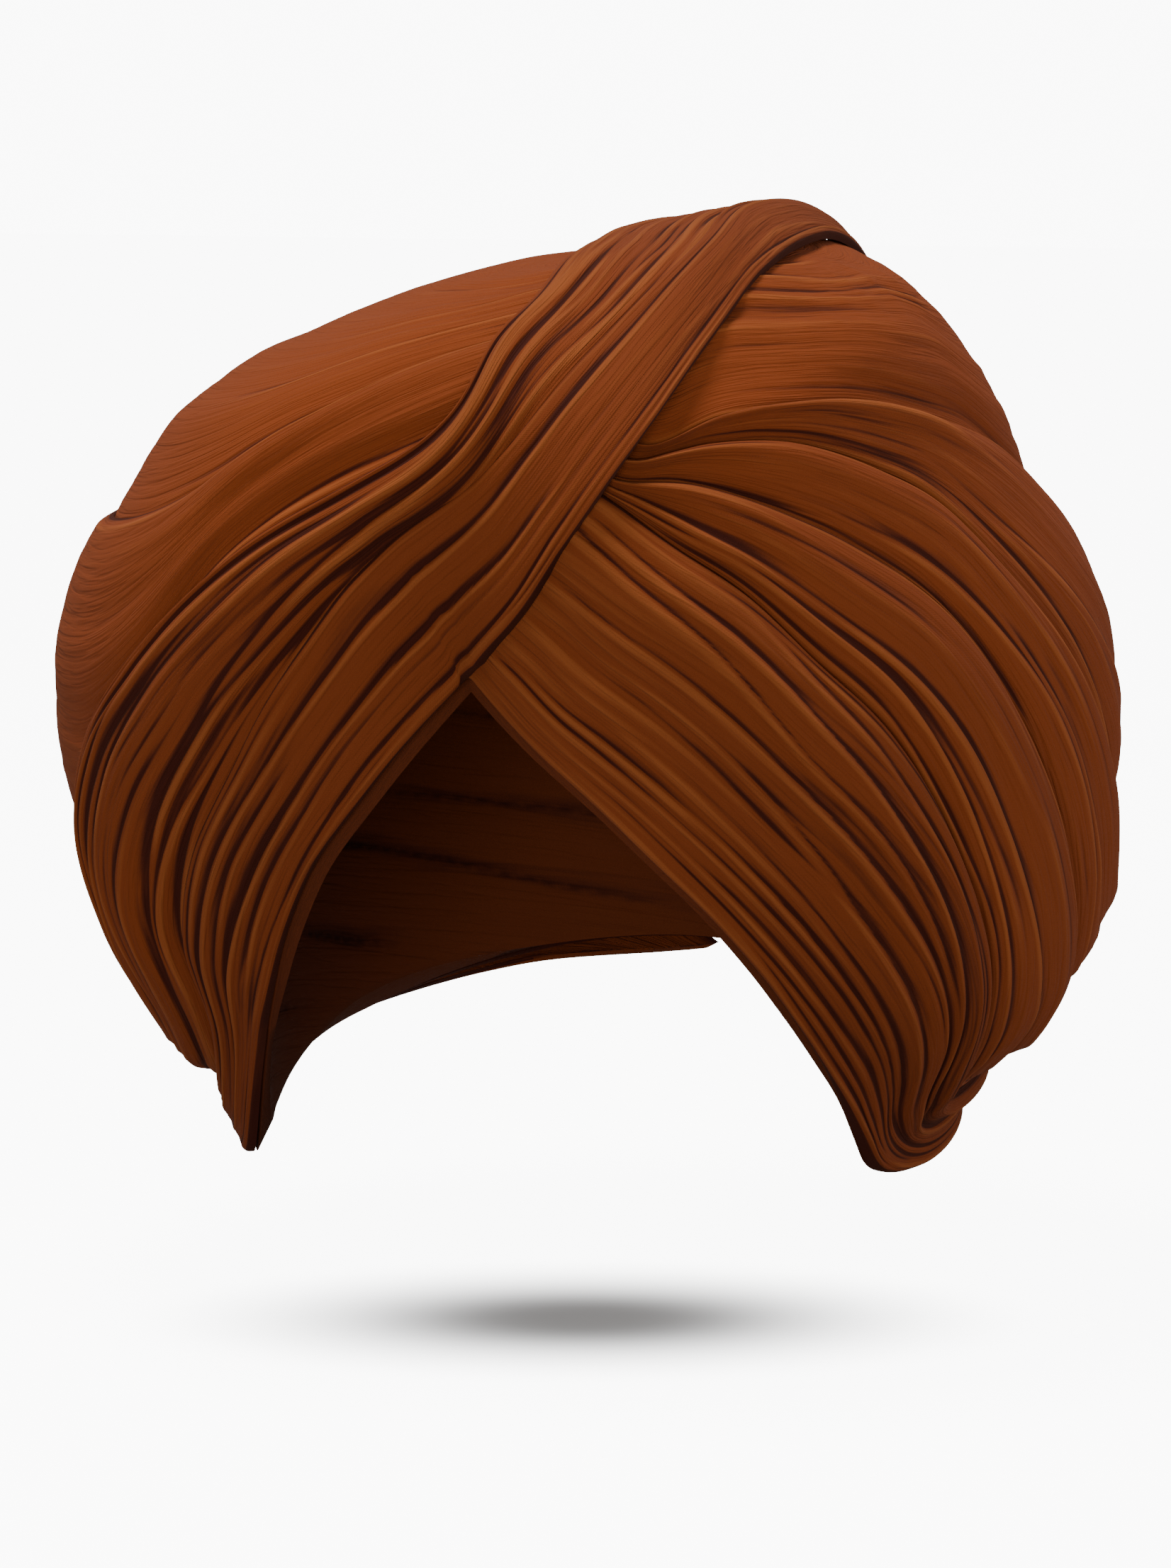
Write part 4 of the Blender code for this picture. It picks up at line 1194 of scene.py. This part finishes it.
def lay_winding(name, line, last, low, columns, rolls, look, painted_light_scale):
    """Lays one turn of the winding, tucked under the turn before it where low is below 0."""
    at = fine_rows(0, last)
    shares = fine_shares(columns, low)
    if low < 0:
        shares[np.argmin(np.abs(shares))] = 0.0
    ways = winding_ways(line, at, shares)
    height = winding_height(line, at, ways, shares, rolls)
    taper = np.interp(at, *zip(*(UPPER_TAPER if line == UPPER_SIDE_LINE else SIDE_TAPER)))
    # The left temple wrap gets painted light and painted shade along it; the other turns get none
    painted_light = LEFT_TEMPLE_PAINTED_LIGHT if line == 0 else NO_PAINTED_LIGHT
    return lay_strip(name, at, ways, height, shares, look, cloth_of(name, painted_light_scale), painted_light, taper=taper)


def lay_gathers(name, columns, look, painted_light_scale):
    """Lays the gathers of the last turn, from the valley by the band to their upper edge."""
    at = fine_rows(0, FRONT_LAST)
    shares = fine_shares(columns)
    hem = hem_way(at)
    valley, top = line_of(FRONT, VALLEY_COLUMN, at), line_of(FRONT, GATHERS_COLUMN, at)
    valley = np.where((at <= RIGHT_FIRST)[:, None], hem, valley)
    under = np.interp(at, (TAIL_ROW - 1, TAIL_ROW + 1), (MARGIN, TAIL_ROOM))[:, None]
    ways = between(unit(valley + under * (hem - valley)), top, shares)
    share = smooth_step((shares - MARGIN) / (STEP_START - MARGIN))[None, :]
    height = turn_height(spline(np.asarray(FRONT, float)[:, GATHERS_LEVELS], at), share)
    taper = np.interp(at, *zip(*GATHERS_TAPER))
    # The gathers get painted light and painted shade along them
    return lay_strip(name, at, ways, height, shares, look, cloth_of(name, painted_light_scale), GATHERS_PAINTED_LIGHT, taper=taper)


def lay_band(name, columns, look, painted_light_scale):
    """Lays the flat pleats of the last turn, from its hem to the valley by the gathers."""
    at = fine_rows(BAND_FIRST, FRONT_LAST)
    shares = fine_shares(columns)
    ways = between(hem_way(at), line_of(FRONT, VALLEY_COLUMN, at), shares)
    share = smooth_step(shares / STEP_END)[None, :]
    height = turn_height(spline(np.asarray(FRONT, float)[:, BAND_LEVELS], at), share)
    drop, thick = np.interp(at, *zip(*HEM_DROP)), np.interp(at, *zip(*BAND_THICKNESS))
    # The band gets painted shade along most of it and a little painted light near its end
    return lay_strip(name, at, ways, height, shares, look, cloth_of(name, painted_light_scale), BAND_PAINTED_LIGHT, drop, 0.0, thick)


def wrap_relief(turns, wraps):
    """How far the wraps inside the hollow stand out, at turns round it and heights along the slant."""
    around = turns[:, None]
    relief = np.zeros(wraps.shape)
    for number in range(WRAP_COUNT):
        own = np.full(around.shape, number * WRAP_WANDER_STEP)
        wander = WRAP_WANDER * soft_noise(around / WRAP_WANDER_TURN, own, WRAP_SEED)
        apart = (wraps - (WRAP_START + WRAP_STEP * number + wander)) / WRAP_REACH
        relief += np.exp(-np.abs(np.where(apart < 0, apart * WRAP_STEEPNESS, apart)))
    return relief + ROUGHNESS * soft_noise(around / ROUGH_TURN, wraps / ROUGH_WIDTH, ROUGH_SEED)


def quads(first, second, third, fourth):
    """Faces with one corner in each of four grids of point numbers."""
    return np.stack([first, second, third, fourth], -1).reshape(-1, 4).tolist()


def lay_inner_turns(name, columns, rows, painted_light_scale):
    """The turns wound first, whose inner side shows in the hollow as slanting wraps."""
    turns = RIM_START + 360 * np.arange(columns) / columns
    rims = rim_rise(turns)[:, None]
    lift = np.linspace(0, 1, rows + 1)[:-1]
    ways = direction(np.repeat(turns[:, None], rows, 1), rims + (90 - rims) * lift[None, :])
    coarse = np.linspace(0, 1, INNER_OUTER_ROWS + 1)[:-1] ** INNER_OUTER_SPACING
    outer_ways = ways[:, np.round(coarse * rows).astype(int)]
    points, normal = skin_frame(outer_ways)
    depth = (1 + MIDDLE_LEVEL) * PITCH + (CREASE + 3 * ROOM) * np.clip(from_rim(outer_ways), 0, 1)
    outer = points - normal * depth[..., None]
    radius = head_radius(ways)
    slant = np.sin(math.radians(1) * (turns[:, None] - WRAP_TURN)) * WRAP_SLANT
    wraps = slant + ways[..., 2] * radius
    fading = smooth_step((lift - (1 - TOP_FADE)) / TOP_FADE)
    grow = (smooth_step(lift / RIM_GROW) * (1 - fading))[None, :]
    relief = wrap_relief(turns, wraps)
    inner = ways * (radius + INNER_RELIEF * np.clip(relief, 0, INNER_MOST) * grow)[..., None]
    top = np.array([[0.0, 0.0, 1.0]])
    top_points, top_normal = skin_frame(top)
    outer_top = top_points - top_normal * ((1 + MIDDLE_LEVEL) * PITCH + CREASE + 3 * ROOM)
    points = np.concatenate([outer.reshape(-1, 3), inner.reshape(-1, 3), outer_top, top * HEAD_ROOF])
    count = columns * INNER_OUTER_ROWS
    out = np.arange(count).reshape(columns, INNER_OUTER_ROWS)
    within = count + np.arange(columns * rows).reshape(columns, rows)
    out_next, within_next = np.roll(out, -1, 0), np.roll(within, -1, 0)
    faces = quads(out[:, :-1], out_next[:, :-1], out_next[:, 1:], out[:, 1:])
    faces += quads(within[:, :-1], within[:, 1:], within_next[:, 1:], within_next[:, :-1])
    faces += quads(out_next[:, 0], out[:, 0], within[:, 0], within_next[:, 0])
    roof = len(points) - 2
    faces += [[a, b, roof] for a, b in zip(out[:, -1].tolist(), out_next[:, -1].tolist())]
    faces += [[b, a, roof + 1] for a, b in zip(within[:, -1].tolist(), within_next[:, -1].tolist())]
    # Painted shade along the wraps' edges in the hollow
    inner_fold = INNER_FOLD - INNER_PAINTED_SHADE * np.clip(relief * grow, 0, INNER_MOST).ravel()
    fold = np.concatenate([np.full(count, OUTER_FOLD), inner_fold, [OUTER_FOLD, INNER_FOLD]])
    place = np.zeros((len(points), 3))
    place[count:-2, 0] = np.repeat(np.radians(turns) * HOLLOW_REACH, rows)
    place[count:-2, 1] = wraps.ravel()
    return make_piece(name, points, faces, fold, place, cloth_of(name, painted_light_scale))


class TurbanCloth(bpy.types.PropertyGroup):
    """Colours and thickness of the cloth."""

    # The first colour is painted shade for the creases and the third painted highlight for the ridges
    deep: bpy.props.FloatVectorProperty(
        name="Crease shade colour", description="Painted shade in the creases", subtype="COLOR", size=4,
        min=0, max=1, default=(0.034, 0.0040, 0.0006, 1.0))
    cloth: bpy.props.FloatVectorProperty(
        name="Cloth colour", description="Dye over most of the cloth", subtype="COLOR", size=4,
        min=0, max=1, default=(0.154, 0.030, 0.0056, 1.0))
    ridge_highlight: bpy.props.FloatVectorProperty(
        name="Rubbed colour", description="Painted highlight on the ridges", subtype="COLOR", size=4,
        min=0, max=1, default=(0.235, 0.062, 0.0140, 1.0))
    fold_depth: bpy.props.FloatProperty(
        name="Fold depth", description="How deep the main creases are pressed", subtype="DISTANCE",
        unit="LENGTH", default=0.0015, min=0.0, max=0.004)
    wave_height: bpy.props.FloatProperty(
        name="Wave height", description="Height of the soft waves between creases", subtype="DISTANCE",
        unit="LENGTH", default=0.0010, min=0.0, max=0.003)
    thread: bpy.props.FloatProperty(
        name="Thread pitch", description="Distance between neighbouring threads", subtype="DISTANCE",
        unit="LENGTH", default=0.0004, min=0.0001, max=0.002, precision=5)
    wrinkle_depth: bpy.props.FloatProperty(
        name="Wrinkle depth", description="Depth of the fine drawn-out wrinkles", subtype="DISTANCE",
        unit="LENGTH", default=0.00050, min=0.0, max=0.003, precision=5)
    weave_depth: bpy.props.FloatProperty(
        name="Weave depth", description="Height of the weave's bump", subtype="DISTANCE",
        unit="LENGTH", default=0.00012, min=0.0, max=0.001, precision=5)


class TurbanStage(bpy.types.PropertyGroup):
    """Floor, lights and camera."""

    floor_drop: bpy.props.FloatProperty(
        name="Floor below the ear tips", description="Clear height under the turban", subtype="DISTANCE",
        unit="LENGTH", default=0.040, min=0.0, max=1.0)
    key_power: bpy.props.FloatProperty(
        name="Key light", description="Power of the large soft light overhead", subtype="POWER",
        default=27.0, min=0.0, max=500.0)
    fill_power: bpy.props.FloatProperty(
        name="Fill light", description="Power of the soft light in front", subtype="POWER",
        default=33.0, min=0.0, max=500.0)
    side_power: bpy.props.FloatProperty(
        name="Side light", description="Power of the soft light behind the wearer's left", subtype="POWER",
        default=10.0, min=0.0, max=500.0)
    world_light: bpy.props.FloatProperty(
        name="Surrounding light", description="Strength of the even light all round",
        default=0.45, min=0.0, max=10.0)
    backdrop: bpy.props.FloatProperty(
        name="Backdrop", description="How bright the backdrop looks to the camera",
        default=10.0, min=0.0, max=20.0)


class TURBAN_OT_inner_turns(bpy.types.Operator):
    """Adds the turns wound first, with the head's hollow in them"""

    bl_idname = "mesh.turban_inner_turns"
    bl_label = "Inner turns"

    def execute(self, context):
        # 0.55 paints the whole of the inner turns in the hollow's shade
        piece = lay_inner_turns("turban_inner_turns", 240, 90, 0.55)
        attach(piece, "root")
        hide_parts("inner_turns")
        return {"FINISHED"}


class TURBAN_OT_left_temple_wrap(bpy.types.Operator):
    """Lays the fan of fine pleats from the brow over the left temple to the nape"""

    bl_idname = "mesh.turban_left_temple_wrap"
    bl_label = "Left temple wrap"

    def execute(self, context):
        look = winding_look("left_temple_wrap", LEFT_TEMPLE_CREASES)
        # 0.86 paints this wrap in shade
        piece = lay_winding("turban_left_temple_wrap", 0, LEFT_LAST, 0.0, 170, (0.5, 0.2, 0.0), look, 0.86)
        finish_piece(piece, "left_temple_wrap")
        return {"FINISHED"}


class TURBAN_OT_side_wraps(bpy.types.Operator):
    """Lays the lower, middle and upper turns over the wearer's left side and round the back"""

    bl_idname = "mesh.turban_side_wraps"
    bl_label = "Side wraps"

    def execute(self, context):
        # Each wrap's colour scale paints the lower wrap in shade and the upper one lighter, as the light
        # falls from above
        wraps = (
            # name, line, last, columns, rolls, creases, calm, painted light scale, slot, flat
            ("lower_side_wrap", 1, SIDE_LAST, 130, (0.6, 0.4, 0.0), LOWER_SIDE_CREASES, ALL_KEPT,
             0.92, "side_cloth", (0.055, 0.54)),
            ("middle_side_wrap", 2, SIDE_LAST, 120, (0.8, 0.6, 0.0), MIDDLE_SIDE_CREASES, ALL_KEPT,
             1.0, "upper_cloth", (0.058, 0.58)),
            ("upper_side_wrap", UPPER_SIDE_LINE, TOP_LAST, 160, (0.9, 0.6, 0.0), UPPER_SIDE_CREASES,
             DOME_CALM, 1.06, "upper_cloth", (0.072, 0.78)),
        )
        for name, line, last, columns, rolls, creases, calm, painted_light_scale, slot, flat in wraps:
            look = winding_look(name, creases, calm=calm)
            piece = lay_winding("turban_" + name, line, last, -MARGIN, columns, rolls, look, painted_light_scale)
            finish_piece(piece, name)
        return {"FINISHED"}


class TURBAN_OT_crown_wrap(bpy.types.Operator):
    """Lays the broad turn over the crown"""

    bl_idname = "mesh.turban_crown_wrap"
    bl_label = "Crown wrap"

    def execute(self, context):
        look = winding_look("crown_wrap", CROWN_CREASES, calm=DOME_CALM)
        rolls = (1.0, 0.7, 0.4)
        # 1.10 paints the crown lighter, where the light from above falls
        piece = lay_winding("turban_crown_wrap", CROWN_LINE, TOP_LAST, -MARGIN, 200, rolls, look, 1.10)
        finish_piece(piece, "crown_wrap")
        return {"FINISHED"}


class TURBAN_OT_last_turn(bpy.types.Operator):
    """Lays the last turn: gathers over the right temple and flat pleats along the hem"""

    bl_idname = "mesh.turban_last_turn"
    bl_label = "Last turn"

    def execute(self, context):
        look = winding_look("right_temple_wrap", GATHER_CREASES)
        # 0.92 and 0.86 paint the gathers and the band in shade
        piece = lay_gathers("turban_right_temple_wrap", 200, look, 0.92)
        finish_piece(piece, "right_temple_wrap")
        look = winding_look("front_band", BAND_CREASES, BAND_WAVES)
        piece = lay_band("turban_front_band", 90, look, 0.86)
        finish_piece(piece, "front_band")
        return {"FINISHED"}


def soft_light(name, place, target, size, power, colour):
    light = bpy.data.lights.new(name, "AREA")
    light.shape = "DISK"
    light.size = size
    light.energy = power
    light.color = colour
    lamp = bpy.data.objects.new(name, light)
    lamp.location = place
    lamp.rotation_euler = (Vector(target) - Vector(place)).to_track_quat("-Z", "Y").to_euler()
    bpy.context.scene.collection.objects.link(lamp)


def photo_camera():
    """The photo's view: turned toward the wearer's left and a little above."""
    turn, rise = math.radians(VIEW_TURN), math.radians(VIEW_RISE)
    back = Vector((math.sin(turn) * math.cos(rise), -math.cos(turn) * math.cos(rise), math.sin(rise)))
    right = Vector((math.cos(turn), math.sin(turn), 0.0))
    up = back.cross(right)
    aim = right * ((IMAGE_WIDTH / 2 - ORIGIN_X) * PIXEL) + up * ((ORIGIN_Y - IMAGE_HEIGHT / 2) * PIXEL)
    camera = bpy.data.cameras.new("photo_camera")
    camera.sensor_fit = "VERTICAL"
    camera.sensor_height = SENSOR
    camera.lens = SENSOR * VIEW_DISTANCE / (PIXEL * IMAGE_HEIGHT)
    camera.clip_end = FAR_CLIP
    holder = bpy.data.objects.new("photo_camera", camera)
    holder.location = back * VIEW_DISTANCE + aim
    holder.rotation_euler = (-back).to_track_quat("-Z", "Y").to_euler()
    bpy.context.scene.collection.objects.link(holder)
    bpy.context.scene.camera = holder


def seen_only(tree, strength):
    """A strength that only the camera sees, so that the backdrop is paler than its light."""
    rays = add_node(tree, "ShaderNodeLightPath")
    return math_node(tree, "MULTIPLY", rays.outputs["Is Camera Ray"], strength)


def painted_floor_shadow(tree, height):
    """How much of the floor's glow is left, from none under the turban's middle to all of it around: a
    painted shadow.
    """
    spot = add_node(tree, "ShaderNodeNewGeometry")
    oval = add_node(tree, "ShaderNodeMapping", vector_type="TEXTURE")
    oval.inputs["Location"].default_value = (0.0, 0.0, height)
    oval.inputs["Rotation"].default_value = (0.0, 0.0, math.radians(VIEW_TURN))
    oval.inputs["Scale"].default_value = (SHADE_HALF_WIDTH, SHADE_HALF_DEPTH, 1.0)
    tree.links.new(spot.outputs["Position"], oval.inputs["Vector"])
    far = add_node(tree, "ShaderNodeVectorMath", operation="LENGTH")
    tree.links.new(oval.outputs["Vector"], far.inputs[0])
    share = add_node(tree, "ShaderNodeMapRange", interpolation_type="SMOOTHSTEP")
    tree.links.new(far.outputs["Value"], share.inputs["Value"])
    return math_node(tree, "POWER", share.outputs["Result"], SHADE_FALL)


def pale_floor(height, glow):
    """The floor under the turban, which is lit softly and glows for the camera only, its glow dimmed into a
    painted shadow under the turban.
    """
    mesh = bpy.data.meshes.new("pale_floor")
    reach = STAGE_REACH
    signs = ((-1, -1), (1, -1), (1, 1), (-1, 1))
    mesh.from_pydata([(x * reach, y * reach, height) for x, y in signs], [], [(0, 1, 2, 3)])
    floor = bpy.data.objects.new("pale_floor", mesh)
    material = bpy.data.materials.new("pale_floor")
    material.use_nodes = True
    shader = material.node_tree.nodes["Principled BSDF"]
    paper = add_node(material.node_tree, "ShaderNodeMix", data_type="RGBA")
    paper.inputs["A"].default_value = FLOOR_LIT
    paper.inputs["B"].default_value = FLOOR_SEEN
    rays = add_node(material.node_tree, "ShaderNodeLightPath")
    material.node_tree.links.new(rays.outputs["Is Camera Ray"], paper.inputs["Factor"])
    material.node_tree.links.new(paper.outputs["Result"], shader.inputs["Base Color"])
    shader.inputs["Roughness"].default_value = FLOOR_ROUGHNESS
    shader.inputs["Specular IOR Level"].default_value = 0.0
    shader.inputs["Emission Color"].default_value = WHITE
    strength = seen_only(material.node_tree, glow)
    # The glow fades out under the turban into a painted shadow
    strength = math_node(material.node_tree, "MULTIPLY", strength, painted_floor_shadow(material.node_tree, height))
    material.node_tree.links.new(strength, shader.inputs["Emission Strength"])
    mesh.materials.append(material)
    bpy.context.scene.collection.objects.link(floor)


class TURBAN_OT_stage(bpy.types.Operator):
    """Adds the pale floor, the soft lights and the camera"""

    bl_idname = "scene.turban_stage"
    bl_label = "Stage"

    def execute(self, context):
        settings = context.scene.turban_stage
        pale_floor(-DROP - settings.floor_drop, settings.backdrop * FLOOR_GLOW)
        world = bpy.data.worlds.new("soft_surroundings")
        world.use_nodes = True
        surroundings = world.node_tree.nodes["Background"]
        surroundings.inputs["Color"].default_value = WHITE
        strength = seen_only(world.node_tree, settings.backdrop - settings.world_light)
        strength = math_node(world.node_tree, "ADD", strength, settings.world_light)
        world.node_tree.links.new(strength, surroundings.inputs["Strength"])
        context.scene.world = world
        for name, power, place, target, size, colour in LIGHTS:
            soft_light(name, place, target, size, getattr(settings, power), colour)
        photo_camera()
        return {"FINISHED"}


class TURBAN_PT_panel(bpy.types.Panel):
    """Lists the turban's pieces, cloth and stage"""

    bl_idname = "TURBAN_PT_panel"
    bl_label = "Turban"
    bl_space_type = "VIEW_3D"
    bl_region_type = "UI"
    bl_category = "Turban"

    def draw(self, context):
        for kind in OPERATORS:
            self.layout.operator(kind.bl_idname)
        for group in (context.scene.turban_cloth, context.scene.turban_stage):
            for name in group.__annotations__:
                self.layout.prop(group, name)


OPERATORS = (
    TURBAN_OT_inner_turns,
    TURBAN_OT_left_temple_wrap,
    TURBAN_OT_side_wraps,
    TURBAN_OT_crown_wrap,
    TURBAN_OT_last_turn,
    TURBAN_OT_stage,
)
CLASSES = (TurbanCloth, TurbanStage, *OPERATORS, TURBAN_PT_panel)


def register():
    for kind in CLASSES:
        bpy.utils.register_class(kind)
    bpy.types.Scene.turban_cloth = bpy.props.PointerProperty(type=TurbanCloth)
    bpy.types.Scene.turban_stage = bpy.props.PointerProperty(type=TurbanStage)


def unregister():
    del bpy.types.Scene.turban_stage
    del bpy.types.Scene.turban_cloth
    for kind in reversed(CLASSES):
        bpy.utils.unregister_class(kind)


def main():
    register()
    bpy.ops.mesh.turban_inner_turns()
    bpy.ops.mesh.turban_left_temple_wrap()
    bpy.ops.mesh.turban_side_wraps()
    bpy.ops.mesh.turban_crown_wrap()
    bpy.ops.mesh.turban_last_turn()
    bpy.ops.scene.turban_stage()


if __name__ == "__main__":
    main()
